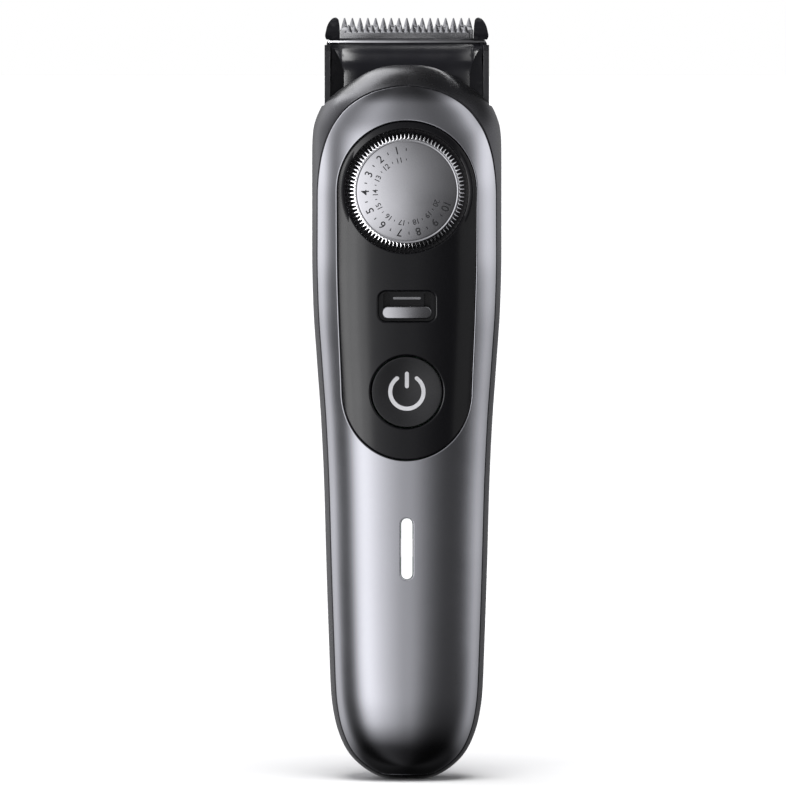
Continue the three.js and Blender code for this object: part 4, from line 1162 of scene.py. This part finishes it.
def blade_mesh(name, outline, w0, w1, cuts, taper, bevel=0.035):
    bm = bmesh.new()
    vs = [bm.verts.new((p[0], p[1], w0)) for p in outline]
    f = bm.faces.new(vs)
    r = bmesh.ops.extrude_face_region(bm, geom=[f])
    bmesh.ops.translate(bm, verts=[g for g in r["geom"] if isinstance(g, bmesh.types.BMVert)], vec=(0, 0, w1 - w0))
    bmesh.ops.recalc_face_normals(bm, faces=bm.faces)
    if bevel:
        es = [e for e in bm.edges if len(e.link_faces) == 2 and e.calc_face_angle(0) > math.radians(60) and abs(e.verts[0].co.z - e.verts[1].co.z) < 1e-6]
        bmesh.ops.bevel(bm, geom=es, offset=bevel, offset_type="OFFSET", segments=2, profile=0.5, affect="EDGES", clamp_overlap=True)
    for v in cuts:
        bmesh.ops.bisect_plane(bm, geom=bm.verts[:] + bm.edges[:] + bm.faces[:], plane_co=(0, v, 0), plane_no=(0, 1, 0))
    for v in bm.verts:
        a, b = taper(v.co.y)
        s = (v.co.z - w0) / (w1 - w0)
        v.co.z = (w0 + a) + s * ((w1 - b) - (w0 + a))
    bmesh.ops.transform(bm, matrix=BLADE, verts=bm.verts)
    return finish_bm(name, bm)


teeth_f = tooth_outline(1.74, 17, -2.75, -0.02, 0.80, 0.17, 1.15)
fixed = blade_mesh("fixed_blade_fine", [(-14.9, -10.9), (-12.4, -13.4), (12.4, -13.4), (14.9, -10.9), (14.9, -3.0)] + teeth_f[::-1] + [(-14.9, -3.0)], 0.03, 0.70,
                   [-2.7, -2.2, -1.7, -1.2, -0.7, -0.3], lambda v: (0.04 * max(0, (v + 1.2) / 1.2), 0.34 * max(0.0, (v + 2.2) / 2.2) ** 1.2))
teeth_c = tooth_outline(1.3, 21, -3.1, -1.40, 0.56, 0.14, 1.2)
cutter = blade_mesh("cutter_blade_fine", [(-13.95, -12.0), (13.95, -12.0), (13.95, -3.2)] + teeth_c[::-1] + [(-13.95, -3.2)], 0.75, 1.35,
                    [-3.05, -2.6, -2.2, -1.9], lambda v: (0.0, 0.22 * max(0.0, (v + 3.1) / 1.7)))
for sx in (-1, 1):
    hole = lathe("hole", [(0, 0), (0.95, 0), (0.95, 8), (0, 8)], (sx * 10.5, 0, 153.6), "y", 48)
    hole.location = (0, 4.0 * MM, 0)
    boolean(fixed, hole)
shade(fixed, 30)

# ------------------------------------------------------------------ blade head
half_plan = [[16.8, -3.6], [16.8, 3.0], [16.5, 5.4], [15.3, 7.7], [13.0, 9.5], [9.5, 10.8], [5.0, 11.45]]
rear = catmull([[16.8, 1.0], [16.8, 3.0], [16.5, 5.4], [15.3, 7.7], [13.0, 9.5], [9.5, 10.8], [5.0, 11.45], [0, 11.6]], False, 6)
plan = np.vstack([[[16.8, -3.6]], rear, (rear[::-1] * [-1, 1])[1:], [[-16.8, -3.6]]])
cove = catmull([[-3.6, 155.6], [-3.6, 157.2], [-3.45, 158.6], [-2.9, 160.2], [-1.7, 161.7], [0.1, 163.0], [1.9, 163.8], [2.22, 164.0]], False, 6)
profile = [[-3.6, 149.2]] + cove.tolist() + [[2.20, 164.25], [2.27, 164.5], [2.44, 164.76], [2.72, 164.99], [3.1, 165.17], [3.6, 165.3], [4.2, 165.4], [back_line(165.4), 165.4], [back_line(151.2), 151.2], [11.6, 149.2]]
head = prism("head", profile, (1, 2), -16.85, 16.85)
boolean(head, prism("plan", plan, (0, 1), 140, 175), "INTERSECT")
LIP_R = 104.0
arc = [[x, 2.12 + x * x / (2 * LIP_R)] for x in np.linspace(-18.6, 18.6, 61)]
boolean(head, prism("lip_front", arc + [[18.6, -8.0], [-18.6, -8.0]], (0, 1), 164.06, 165.6))
lip_out = catmull([[-17.9, 164.2], [-17.5, 164.95], [-16.4, 165.1], [0, 165.1], [16.4, 165.1], [17.5, 164.95], [17.9, 164.2]], False, 5)
lip = prism("lip", [[2.20, 164.1], [2.20, 164.25], [2.27, 164.5], [2.44, 164.76], [2.72, 164.99], [3.1, 165.17], [5.3, 165.2], [5.3, 164.1]], (1, 2), -17.9, 17.9)
boolean(lip, prism("lipends", np.vstack([lip_out[::-1], [[-17.9, 164.0], [17.9, 164.0]]]), (0, 2), 1, 7), "INTERSECT")
boolean(lip, prism("lip_front2", arc + [[18.6, -8.0], [-18.6, -8.0]], (0, 1), 164.0, 165.6))
cheek_o = np.array([[14.95, 165.06], [17.95, 165.06], [18.22, 165.6], [18.05, 167.1], [17.75, 168.2], [17.2, 169.2], [16.6, 169.8], [15.9, 170.0], [15.4, 169.7], [15.1, 168.6], [14.95, 166.5]])
cheek_fine = np.vstack([catmull(cheek_o[1:], False, 5), [cheek_o[0]]])
side_line = catmull([[2.0, 165.0], [1.55, 166.2], [1.35, 168.2], [1.7, 169.6], [2.6, 170.3]], False, 8)
cheek_y = np.vstack([side_line, [[back_line(170.4), 170.4], [back_line(165.0), 165.0]]])
for s in (-1, 1):
    c = prism("cheek", cheek_fine * [s, 1], (0, 2), -5, 15)
    boolean(c, prism("cheekside", cheek_y, (1, 2), 10 if s > 0 else -20, 20 if s > 0 else -10), "INTERSECT")
    boolean(head, c, "UNION")
boolean(head, lip, "UNION")
for s in (-1, 1):
    x0, x1 = sorted((s * 16.4, s * 17.9))
    boolean(head, prism("flank", [[1.5, 150.7], [5.0, 150.7], [5.6, 151.6], [5.6, 163.2], [5.2, 164.3], [2.4, 164.3], [1.5, 163.6]], (1, 2), x0, x1), "UNION")


def scoop():
    """Cutter for the head's front: it hollows the cove sideways as well, so the face turns outwards again near the two corners."""
    cz = np.array(cove)
    zs = np.concatenate([np.linspace(148.8, 156, 5), np.linspace(156.6, 163.9, 22), [164.04]])
    xs = np.linspace(-14.6, 14.6, 79)
    bm = bmesh.new()
    back_, front_ = [], []
    for z in zs:
        y0 = float(np.interp(z, cz[:, 1], cz[:, 0]))
        fade = min(1.0, max(0.0, (164.0 - z) / 2.0))
        row = []
        for x in xs:
            u = min(1.0, max(0.0, (14.6 - abs(x)) / 6.6))
            row.append(bm.verts.new((x, y0 - 0.03 + 1.45 * (1 - (1 - u) ** 2) * fade, z)))
        back_.append(row)
        front_.append([bm.verts.new((x, -6.0, z)) for x in xs])
    n, m = len(zs), len(xs)
    for i in range(n - 1):
        for j in range(m - 1):
            bm.faces.new((back_[i][j], back_[i][j + 1], back_[i + 1][j + 1], back_[i + 1][j]))
            bm.faces.new((front_[i][j], front_[i + 1][j], front_[i + 1][j + 1], front_[i][j + 1]))
    for j in range(m - 1):
        bm.faces.new((back_[0][j], front_[0][j], front_[0][j + 1], back_[0][j + 1]))
        bm.faces.new((back_[-1][j], back_[-1][j + 1], front_[-1][j + 1], front_[-1][j]))
    for i in range(n - 1):
        bm.faces.new((back_[i][0], back_[i + 1][0], front_[i + 1][0], front_[i][0]))
        bm.faces.new((back_[i][-1], front_[i][-1], front_[i + 1][-1], back_[i + 1][-1]))
    bmesh.ops.recalc_face_normals(bm, faces=bm.faces)
    return finish_bm("scoop", bm)


boolean(head, scoop())
pf = 1.66 / math.cos(SLOPE)
boolean(head, prism("pocket", [[back_line(157.3) - pf, 157.3], [20, 157.3], [20, 172], [back_line(172) - pf, 172]], (1, 2), -14.95, 14.95))
boolean(head, prism("hollow", [[0.6, 148], [6.4, 148], [6.4, 161.1], [0.6, 161.1]], (1, 2), -5.5, 5.5))
boolean(head, prism("hollow2", [[3.6, 156.2], [9.5, 156.2], [9.5, 161.8], [3.6, 161.8]], (1, 2), -12.6, 12.6))
rec = catmull([[14.0, 151.5], [14.0, 154.5], [14.15, 158], [14.75, 160.3], [15.6, 162.0], [16.4, 163.1], [17.2, 163.55]], False, 6)
for s in (-1, 1):
    boolean(head, prism("recess", np.vstack([[[18, 148.5], [14.0, 148.5]], rec, [[18, 163.6]]]) * [s, 1], (0, 2), -8, 0.4))
    boolean(head, lathe("screwway", [(0, 5.0), (0.95, 5.0), (0.95, 15), (0, 15)], (s * 10.5, 0, 153.6), "y", 40))
bevel_object(head, 0.13, 2, 34)
print("head faces", len(head.data.polygons))

# ------------------------------------------------------------------ edge along the head's lip, in a lighter metal than the head's black plastic: a painted highlight on the lip's chamfer
ax = np.linspace(-17.6, 17.6, 89)
trim_plan = [[x, 1.98 + x * x / (2 * LIP_R)] for x in ax] + [[x, 2.75 + x * x / (2 * LIP_R)] for x in ax[::-1]]
trim = prism("trim", trim_plan, (0, 1), 164.22, 165.0, 0.0)
bevel_object(trim, 0.22, 4, 40)

# ------------------------------------------------------------------ comb carriage: two guide arms joined behind the dial
arm_o = np.array([[-3.4, 124], [1.2, 124], [1.2, 162.6], [0.5, 163.75], [0.1, 163.9], [-1.8, 163.9], [-2.3, 163.75], [-3.4, 162.6]])
carriage = None
for s in (-1, 1):
    a = prism("arm", arm_o, (1, 2), min(s * 17.1, s * 18.35), max(s * 17.1, s * 18.35), 0.0)
    if carriage is None:
        carriage = a
    else:
        boolean(carriage, a, "UNION")
boolean(carriage, prism("bridge", [[-2.9, 124.2], [-1.5, 124.2], [-1.5, 136.5], [-2.9, 136.5]], (1, 2), -17.4, 17.4), "UNION")
for s in (-1, 1):
    x0, x1 = sorted((s * 12, s * 16.4))
    boolean(carriage, prism("pad", [[-2.9, 126], [-0.2, 126], [-0.2, 134.5], [-2.9, 134.5]], (1, 2), x0, x1), "UNION")
bevel_object(carriage, 0.3, 4, 34)

# ------------------------------------------------------------------ charging socket and its pins


def superellipse(w, d, n, count=120):
    t = np.linspace(0, 2 * math.pi, count, endpoint=False)
    r = (np.abs(np.cos(t) / w) ** n + np.abs(np.sin(t) / d) ** n) ** (-1 / n)
    return np.stack([r * np.cos(t), r * np.sin(t)], 1)


socket = prism("socket", superellipse(5.42, 4.62, 2.6), (0, 1), 0.0, 12.6)
boolean(socket, prism("flangeS", round_rect(0, 0, 6.9, 5.6, 0.8, 0.3), (0, 1), 12.4, 14.0), "UNION")
boolean(socket, prism("mouth", round_rect(0, 0, 4.8, 3.3, 1.0, 0.12), (0, 1), -1, 9.6))
for s in (-1, 1):
    boolean(socket, lathe("pinway", [(0, 5), (0.85, 5), (0.85, 20), (0, 20)], (s * 2.6, 0, 0), "z", 40))
bevel_object(socket, 0.14, 3, 34)
pins = {}
for s, nm in ((-1, "left"), (1, "right")):
    pins[nm] = lathe("charging_pin_%s_fine" % nm, [(0, 4.6), (0.45, 4.63), (0.66, 4.75), (0.75, 5.0), (0.75, 14.3), (1.2, 14.3), (1.3, 14.4), (1.3, 14.9), (1.2, 15.0), (0.75, 15.0), (0.75, 17.4), (0.65, 17.5), (0, 17.5)],
                     (s * 2.6, 0, 0), "z", 48)

# ------------------------------------------------------------------ materials
def silver_coat():
    """Metallic lacquer: fine flakes under a clear satin coat, with faint handling marks."""
    m = bpy.data.materials.new("silver_coat")
    t, p = nodes_of(m)
    tc = node(t, "ShaderNodeTexCoord")
    v = node(t, "ShaderNodeTexVoronoi")
    v.inputs["Scale"].default_value = 14000
    link(t, tc.outputs["Object"], v.inputs["Vector"])
    flake = node(t, "ShaderNodeSeparateColor")
    link(t, v.outputs["Color"], flake.inputs["Color"])
    base = mix_color(t, ranged(t, flake.outputs["Red"], 0.0, 1.0, 0.0, 1.0), (0.438, 0.440, 0.462), (0.462, 0.465, 0.490))
    cloud = ranged(t, noise(t, 60, 3), 0.985, 1.015)
    hsv = node(t, "ShaderNodeHueSaturation")
    link(t, base, hsv.inputs["Color"])
    link(t, cloud, hsv.inputs["Value"])
    link(t, hsv.outputs["Color"], p.inputs["Base Color"])
    p.inputs["Metallic"].default_value = 1.0
    rub = ranged(t, noise(t, 240, 6, 0.65), -0.008, 0.012)
    fine = ranged(t, flake.outputs["Green"], -0.012, 0.012, 0.0, 1.0)
    link(t, math_node(t, "ADD", math_node(t, "ADD", rub, fine), 0.215), p.inputs["Roughness"])
    h = math_node(t, "ADD", math_node(t, "MULTIPLY", flake.outputs["Blue"], 0.5), noise(t, 5000, 2))
    bump(t, p, h, 1.0, 0.0000005)
    return m


def spun_metal(name, base, rough, centre_z=None):
    """Satin metal; a spun face gets fine rings about its centre, a bar fine horizontal lines."""
    m = bpy.data.materials.new(name)
    t, p = nodes_of(m)
    tc = node(t, "ShaderNodeTexCoord")
    sep = node(t, "ShaderNodeSeparateXYZ")
    link(t, tc.outputs["Object"], sep.inputs[0])
    if centre_z is not None:
        dz = math_node(t, "SUBTRACT", sep.outputs["Z"], centre_z)
        r = math_node(t, "SQRT", math_node(t, "ADD", math_node(t, "MULTIPLY", sep.outputs["X"], sep.outputs["X"]), math_node(t, "MULTIPLY", dz, dz)))
        comb = node(t, "ShaderNodeCombineXYZ")
        link(t, math_node(t, "MULTIPLY", r, 42000.0), comb.inputs["X"])
        src = comb.outputs[0]
        n = node(t, "ShaderNodeTexNoise")
        n.inputs["Scale"].default_value, n.inputs["Detail"].default_value = 1.0, 3.0
        link(t, src, n.inputs["Vector"])
        line = n.outputs["Fac"]
    else:
        line = noise(t, 700, 5, 0.65, (0.9, 1.0, 38.0))
    col = mix_color(t, ranged(t, line, 0.0, 1.0), tuple(x * 0.94 for x in base), tuple(min(1, x * 1.05) for x in base))
    link(t, col, p.inputs["Base Color"])
    p.inputs["Metallic"].default_value = 1.0
    link(t, math_node(t, "ADD", ranged(t, line, -0.03, 0.03), math_node(t, "ADD", ranged(t, noise(t, 400, 4), -0.02, 0.02), rough)), p.inputs["Roughness"])
    bump(t, p, line, 1.0, 0.0000022)
    return m


def glow(name):
    """Diffusing window lit from behind: evenly white, with a slight random variation in strength."""
    m = bpy.data.materials.new(name)
    t, p = nodes_of(m)
    lw = ranged(t, noise(t, 900, 3), 0.96, 1.0)
    link(t, mix_color(t, lw, (0.22, 0.22, 0.23), (0.28, 0.28, 0.285)), p.inputs["Base Color"])
    p.inputs["Roughness"].default_value = 0.28
    p.inputs["Emission Color"].default_value = (0.97, 0.975, 1.0, 1)
    link(t, ranged(t, noise(t, 500, 2), 0.93, 1.0), p.inputs["Emission Strength"])
    bump(t, p, noise(t, 6000, 2), 1.0, 0.000001)
    return m


M = {
    "shell_metallic": silver_coat(),
    "frame_dark": finish_material("frame_dark", (0.044, 0.044, 0.047), 0.27, 0.9, 0.05, 0.03, 11000, 0.0000012, 1.5, worn=(0.12, 0.12, 0.125)),
    "grip_rubber": finish_material("grip_rubber", (0.022, 0.022, 0.024), 0.60, 0.0, 0.10, 0.07, 7000, 0.000006, 1.5, worn=(0.05, 0.05, 0.052)),
    "panel_gloss": finish_material("panel_gloss", (0.0028, 0.0028, 0.0034), 0.20, 0.0, 0.03, 0.02, 9000, 0.0000004, 1.34),
    "button_gloss": finish_material("button_gloss", (0.0055, 0.0055, 0.0063), 0.22, 0.0, 0.04, 0.02, 9000, 0.0000008, 1.50),
    "dial_metal": spun_metal("dial_metal", (0.50, 0.50, 0.515), 0.23, DIAL_Z * MM),
    "bar_metal": spun_metal("bar_metal", (0.34, 0.34, 0.35), 0.26),
    "scale_print": finish_material("scale_print", (0.016, 0.016, 0.018), 0.6, 0.0, 0.12, 0.05, 9000, 0.000001),
    "mark_print": finish_material("mark_print", (0.52, 0.52, 0.535), 0.45, 0.0, 0.04, 0.04, 9000, 0.000001),
    "mark_dim": finish_material("mark_dim", (0.22, 0.22, 0.23), 0.45, 0.0, 0.05, 0.04, 9000, 0.000001),
    "black_plastic": finish_material("black_plastic", (0.0035, 0.0035, 0.0042), 0.25, 0.0, 0.08, 0.03, 8000, 0.0000014, 1.34, worn=(0.02, 0.02, 0.021)),
    "head_plastic": finish_material("head_plastic", (0.0024, 0.0024, 0.003), 0.24, 0.0, 0.08, 0.03, 8000, 0.0000014, 1.2, worn=(0.02, 0.02, 0.021)),
    "arm_plastic": finish_material("arm_plastic", (0.022, 0.022, 0.024), 0.30, 0.6, 0.06, 0.05, 8000, 0.0000018, 1.5, worn=(0.08, 0.08, 0.082)),
    # painted highlight: the lip edge gets a bright metal in place of the head's black plastic, for the light on its
    # chamfer
    "lip_highlight_metal": finish_material("lip_highlight_metal", (0.36, 0.36, 0.37), 0.18, 1.0, 0.05, 0.03, 8000, 0.0000010),
    "blade_steel": finish_material("blade_steel", (0.40, 0.40, 0.415), 0.24, 1.0, 0.06, 0.05, 9000, 0.0000020, brushed=(1.2, 40.0, 40.0)),
    "hidden_steel": finish_material("hidden_steel", (0.50, 0.50, 0.51), 0.30, 1.0, 0.06, 0.05, 9000, 0.0000025),
    "lens_light": glow("lens_light"),
    "brass_contact": finish_material("brass_contact", (0.80, 0.60, 0.27), 0.24, 1.0, 0.05, 0.05, 9000, 0.0000015),
    "white_acetal": finish_material("white_acetal", (0.80, 0.79, 0.75), 0.38, 0.0, 0.03, 0.04, 7000, 0.000003),
    "chassis_plastic": finish_material("chassis_plastic", (0.62, 0.62, 0.60), 0.48, 0.0, 0.04, 0.05, 6000, 0.000004),
    "seal_rubber": finish_material("seal_rubber", (0.022, 0.022, 0.022), 0.68, 0.0, 0.10, 0.06, 6000, 0.000005),
    "lead_red": finish_material("lead_red", (0.45, 0.02, 0.015), 0.42, 0.0, 0.05, 0.05, 7000, 0.000002),
    "board_green": finish_material("board_green", (0.015, 0.13, 0.045), 0.34, 0.0, 0.10, 0.05, 5000, 0.000003),
    "battery_wrap": finish_material("battery_wrap", (0.02, 0.13, 0.36), 0.26, 0.0, 0.04, 0.04, 6000, 0.000002),
    "copper_winding": finish_material("copper_winding", (0.62, 0.26, 0.12), 0.30, 1.0, 0.08, 0.05, 5000, 0.000004, brushed=(30.0, 30.0, 2.0)),
}
SLOT_OF = {s["node"]: s["material_slot"] for s in RECORD["subparts"]}


def paint(o, mat):
    o.data.materials.clear()
    o.data.materials.append(M[mat])


def place(o, name, body, slot, mat=None, stands_for=()):
    o.name = name
    o.data.name = name
    paint(o, mat or slot)
    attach(o, body)
    if stands_for:
        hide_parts(*stands_for)
    return o


for n, o in NODES.items():
    s = SLOT_OF.get(n, "black_plastic")
    key = "white_acetal" if n == "status_led" else {"satin_metal": "bar_metal"}.get(s, s)
    o.data.materials.clear()
    o.data.materials.append(M[key])
    o.data.polygons.foreach_set("use_smooth", [True] * len(o.data.polygons))
    o.data.set_sharp_from_angle(angle=math.radians(35))

place(fascia, "front_fascia_fine", "housing", "shell_metallic", None, ["front_fascia"])
place(mid, "mid_frame_fine", "housing", "frame_dark", None, ["mid_frame"])
place(back, "back_cover_fine", "housing", "grip_rubber", None, ["back_cover"])
place(join("panel_all", [panel, panel_cup]), "control_panel_fine", "housing", "panel_gloss", None, ["control_panel"])
place(led, "light_guide_fine", "housing", "lens_light", None, ["light_guide"])
place(join("button_all", [button, stem]), "power_button_fine", "button", "panel_gloss", "button_gloss", ["power_button"])
place(join("power_mark", marks), "power_mark", "button", "lens_light", "mark_print")
place(knob, "dial_knob_fine", "dial", "satin_metal", "dial_metal", ["dial_knob"])
place(scale, "dial_scale", "dial", "black_plastic", "scale_print")
place(tray, "lock_guide_fine", "housing", "black_plastic", None, ["lock_guide"])
place(join("lock_all", lock_piece), "lock_slider_fine", "lock", "satin_metal", "bar_metal", ["lock_slider"])
place(lock_line, "lock_mark", "housing", "lens_light", "mark_dim")
place(head, "head_housing_fine", "head", "black_plastic", "head_plastic", ["head_housing"])
# the lip edge wears the bright metal that paints the highlight on the lip's chamfer
place(trim, "lip_edge", "head", "black_plastic", "lip_highlight_metal")
place(shutter, "lock_shutter", "lock", "black_plastic")
place(fixed, "fixed_blade_fine", "head", "blade_steel", None, ["fixed_blade"])
place(cutter, "cutter_blade_fine", "cutter", "blade_steel", None, ["cutter_blade"])
place(carriage, "comb_carriage_fine", "carriage", "black_plastic", "arm_plastic", ["comb_carriage"])
place(socket, "charging_socket_fine", "housing", "black_plastic", None, ["charging_socket"])
for nm, o in pins.items():
    place(o, "charging_pin_%s_fine" % nm, "housing", "brass_contact", None, ["charging_pin_" + nm])

# ------------------------------------------------------------------ stage: floor, light and camera
sc = bpy.context.scene
sc.view_settings.view_transform = "Standard"
sc.view_settings.look = "None"
CENTRE_Z = 0.08356


# What the studio shows in each direction: angle round the object (degrees; 0 is the camera side, minus is the viewer's left) and radiance.
LOW = [(-180, .12), (-150, .45), (-124, .95), (-112, .98), (-104, .55), (-96, .22), (-86, .11), (-76, .10), (-68, .17), (-60, .42), (-52, 1.25), (-43, 1.98), (-34, 2.15), (-26, 1.88), (-18, 1.50), (-11, 1.24),
       (-5, 1.02), (0, .74), (4, .38), (9, .22), (18, .12), (28, .078), (44, .07), (60, .075), (70, .10), (80, .21), (92, .47), (104, .74), (118, .62), (134, .36), (155, .18), (180, .12)]
MIDDLE = [(-180, .25), (-160, .35), (-146, .8), (-131, 1.85), (-107, 1.85), (-97, 1.3), (-87, .68), (-76, .36), (-69, .30), (-60, .55), (-49, 1.2), (-38, 1.9), (-30, 2.0), (-23, 1.75), (-17, 1.4), (-11, 1.08),
          (-5, .84), (0, .64), (5, .48), (10, .34), (15, .23), (21, .15), (32, .115), (50, .14), (62, .34), (74, 1.1), (86, 1.55), (97, 1.7), (116, 1.5), (132, 1.0), (150, .4), (180, .25)]
HIGH = [(-180, .3), (-150, 1.4), (-130, 2.9), (-112, 2.6), (-94, 1.2), (-76, .42), (-58, .30), (-42, .55), (-25, .92), (-12, .55), (0, .22), (16, .16), (36, .19), (50, .40), (62, .95), (73, 1.25), (85, .8), (100, .3), (130, .12), (180, .12)]


def studio_world():
    w = bpy.data.worlds.new("studio")
    sc.world = w
    w.use_nodes = True
    t = w.node_tree
    t.nodes.clear()
    out = node(t, "ShaderNodeOutputWorld")
    sep = node(t, "ShaderNodeSeparateXYZ")
    tc = node(t, "ShaderNodeTexCoord")
    link(t, tc.outputs["Generated"], sep.inputs[0])
    ny = math_node(t, "MULTIPLY", sep.outputs["Y"], -1.0)
    pos = math_node(t, "ADD", math_node(t, "DIVIDE", math_node(t, "ARCTAN2", sep.outputs["X"], ny), 2 * math.pi), 0.5)

    def around(table):
        peak = max(v for _, v in table)
        ramp = node(t, "ShaderNodeValToRGB")
        r = ramp.color_ramp
        r.interpolation = "B_SPLINE"
        while len(r.elements) > 1:
            r.elements.remove(r.elements[-1])
        for i, (a, v) in enumerate(table):
            e = r.elements[0] if i == 0 else r.elements.new((a + 180) / 360.0)
            e.position = (a + 180) / 360.0
            e.color = (v / peak, v / peak, v / peak, 1)
        link(t, pos, ramp.inputs["Fac"])
        sc_ = node(t, "ShaderNodeVectorMath", operation="SCALE")
        link(t, ramp.outputs["Color"], sc_.inputs[0])
        sc_.inputs["Scale"].default_value = peak
        return sc_.outputs[0]

    def step(lo, hi, a=0.0, b=1.0):
        m = node(t, "ShaderNodeMapRange", interpolation_type="SMOOTHSTEP")
        link(t, sep.outputs["Z"], m.inputs["Value"])
        m.inputs["From Min"].default_value, m.inputs["From Max"].default_value = lo, hi
        m.inputs["To Min"].default_value, m.inputs["To Max"].default_value = a, b
        return m.outputs[0]

    c = mix_color(t, step(-0.085, -0.015), around(LOW), around(MIDDLE))
    c = mix_color(t, step(0.12, 0.50), c, around(HIGH))
    k = math_node(t, "MULTIPLY", step(-0.74, -0.20, 0.03, 1.0), step(0.80, 0.96, 1.0, 0.10))
    tint = node(t, "ShaderNodeMix", data_type="RGBA", blend_type="MULTIPLY")
    tint.inputs["Factor"].default_value = 1.0
    link(t, c, tint.inputs["A"])
    tint.inputs["B"].default_value = (0.985, 0.985, 1.02, 1)
    studio = node(t, "ShaderNodeBackground")
    link(t, tint.outputs["Result"], studio.inputs["Color"])
    link(t, k, studio.inputs["Strength"])
    white = node(t, "ShaderNodeBackground")
    white.inputs["Color"].default_value = (1, 1, 1, 1)
    white.inputs["Strength"].default_value = 1.0
    lp = node(t, "ShaderNodeLightPath")
    mx = node(t, "ShaderNodeMixShader")
    link(t, lp.outputs["Is Camera Ray"], mx.inputs["Fac"])
    link(t, studio.outputs[0], mx.inputs[1])
    link(t, white.outputs[0], mx.inputs[2])
    link(t, mx.outputs[0], out.inputs["Surface"])


studio_world()


def area(name, loc, target, size, power, spread=None):
    l = bpy.data.lights.new(name, "AREA")
    l.shape, l.size, l.size_y, l.energy = "RECTANGLE", size[0], size[1], power
    o = bpy.data.objects.new(name, l)
    sc.collection.objects.link(o)
    o.location = loc
    d = Vector(target) - Vector(loc)
    o.rotation_euler = d.to_track_quat("-Z", "Y").to_euler()
    o.visible_glossy = False
    return o


sun = bpy.data.lights.new("overhead", "SUN")
sun.energy, sun.angle = 3.85, math.radians(36)
suno = bpy.data.objects.new("overhead", sun)
sc.collection.objects.link(suno)
suno.rotation_euler = (math.radians(15), 0, 0)
suno.visible_glossy = False


def only(light, *names):
    """This light falls on the named pieces alone, as a flagged studio lamp does."""
    col = bpy.data.collections.new(light.name + "_on")
    for n in names:
        col.objects.link(bpy.data.objects[n])
    light.light_linking.receiver_collection = col
    light.light_linking.blocker_collection = col
    light.visible_glossy = True
    light.visible_camera = False


Zd = DIAL_Z * MM
only(area("dial_left", (-0.32, -0.05, Zd - 0.03), (0, -0.018, Zd), (0.09, 0.30), 1.7), "dial_knob_fine")
only(area("dial_top", (-0.12, -0.05, Zd + 0.30), (0, -0.018, Zd), (0.09, 0.22), 0.45), "dial_knob_fine")
only(area("dial_low", (-0.20, -0.05, Zd - 0.24), (0, -0.018, Zd), (0.09, 0.24), 1.2), "dial_knob_fine")
only(area("dial_right", (0.26, -0.05, Zd + 0.20), (0, -0.018, Zd), (0.06, 0.14), 0.06), "dial_knob_fine")
only(area("blade_low", (-0.10, -0.24, 0.168 - 0.235), (0, 0, 0.166), (0.20, 0.14), 0.16), "fixed_blade_fine", "cutter_blade_fine")
only(area("blade_top", (-0.05, -0.16, 0.168 + 0.24), (0, 0, 0.166), (0.16, 0.10), 0.05), "fixed_blade_fine", "cutter_blade_fine")
only(area("lip_left", (-0.20, -0.22, 0.168 + 0.02), (0, 0, 0.165), (0.16, 0.10), 1.9), "lip_edge")
only(area("head_left", (0.24, -0.20, 0.168), (-0.012, 0, 0.160), (0.12, 0.10), 2.9), "head_housing_fine")
only(area("head_left_top", (0.115, 0.04, 0.168 + 0.26), (-0.010, 0, 0.160), (0.32, 0.11), 3.9), "head_housing_fine")
only(area("head_right", (-0.24, -0.20, 0.168), (0.012, 0, 0.160), (0.08, 0.08), 0.7), "head_housing_fine")
only(area("head_right_top", (-0.115, 0.04, 0.168 + 0.26), (0.010, 0, 0.160), (0.32, 0.10), 0.75), "head_housing_fine")
only(area("collar", (-0.13, -0.10, 0.155 + 0.25), (-0.010, -0.008, 0.155), (0.16, 0.16), 0.5), "mid_frame_fine")
only(area("collar_back", (-0.124, 0.135, 0.394), (-0.010, -0.008, 0.155), (0.20, 0.20), 0.62), "mid_frame_fine")
only(area("arm_left", (-0.26, -0.14, 0.160), (-0.018, 0, 0.158), (0.10, 0.16), 0.8), "comb_carriage_fine")
only(area("arm_right", (0.26, -0.14, 0.160), (0.018, 0, 0.158), (0.10, 0.16), 0.5), "comb_carriage_fine")
for k, (a, w_, e_) in enumerate(((-55, 0.085, 0.38), (-41, 0.075, 0.26), (-29, 0.075, 0.15), (50, 0.16, 0.07))):
    a = math.radians(a)
    only(area("panel_side%d" % k, (0.34 * math.sin(a), -0.34 * math.cos(a), 0.108), (0, -0.017, 0.108), (w_, 0.24), e_), "control_panel_fine")

fl = bmesh.new()
bmesh.ops.create_grid(fl, x_segments=4, y_segments=4, size=40.0)
fm = bpy.data.meshes.new("floor")
fl.to_mesh(fm)
fl.free()
floor = bpy.data.objects.new("floor", fm)
sc.collection.objects.link(floor)
floor.location = (0, 0, -0.0002)
floor.visible_glossy = False


def floor_material():
    m = bpy.data.materials.new("floor_paper")
    t, p = nodes_of(m)
    link(t, mix_color(t, ranged(t, noise(t, 30, 3), 0.0, 1.0), (0.625, 0.625, 0.625), (0.645, 0.645, 0.645)), p.inputs["Base Color"])
    p.inputs["Roughness"].default_value = 0.9
    p.inputs["Specular IOR Level"].default_value = 0.0
    p.inputs["Emission Color"].default_value = (1, 1, 1, 1)
    p.inputs["Emission Strength"].default_value = 0.02
    return m


floor.data.materials.append(floor_material())

cam = bpy.data.cameras.new("camera")
cam.sensor_width, cam.sensor_fit, cam.lens = 36.0, "AUTO", 36.0 * 2000 / 180.8
cam.clip_start, cam.clip_end = 0.05, 20
camo = bpy.data.objects.new("camera", cam)
sc.collection.objects.link(camo)
EL, DIST = math.radians(2.6), 2.0
target = Vector((-0.00308, -0.002, 0.0836))
camo.location = target + Vector((0, -math.cos(EL) * DIST, math.sin(EL) * DIST))
camo.rotation_euler = (target - camo.location).to_track_quat("-Z", "Y").to_euler()
sc.camera = camo
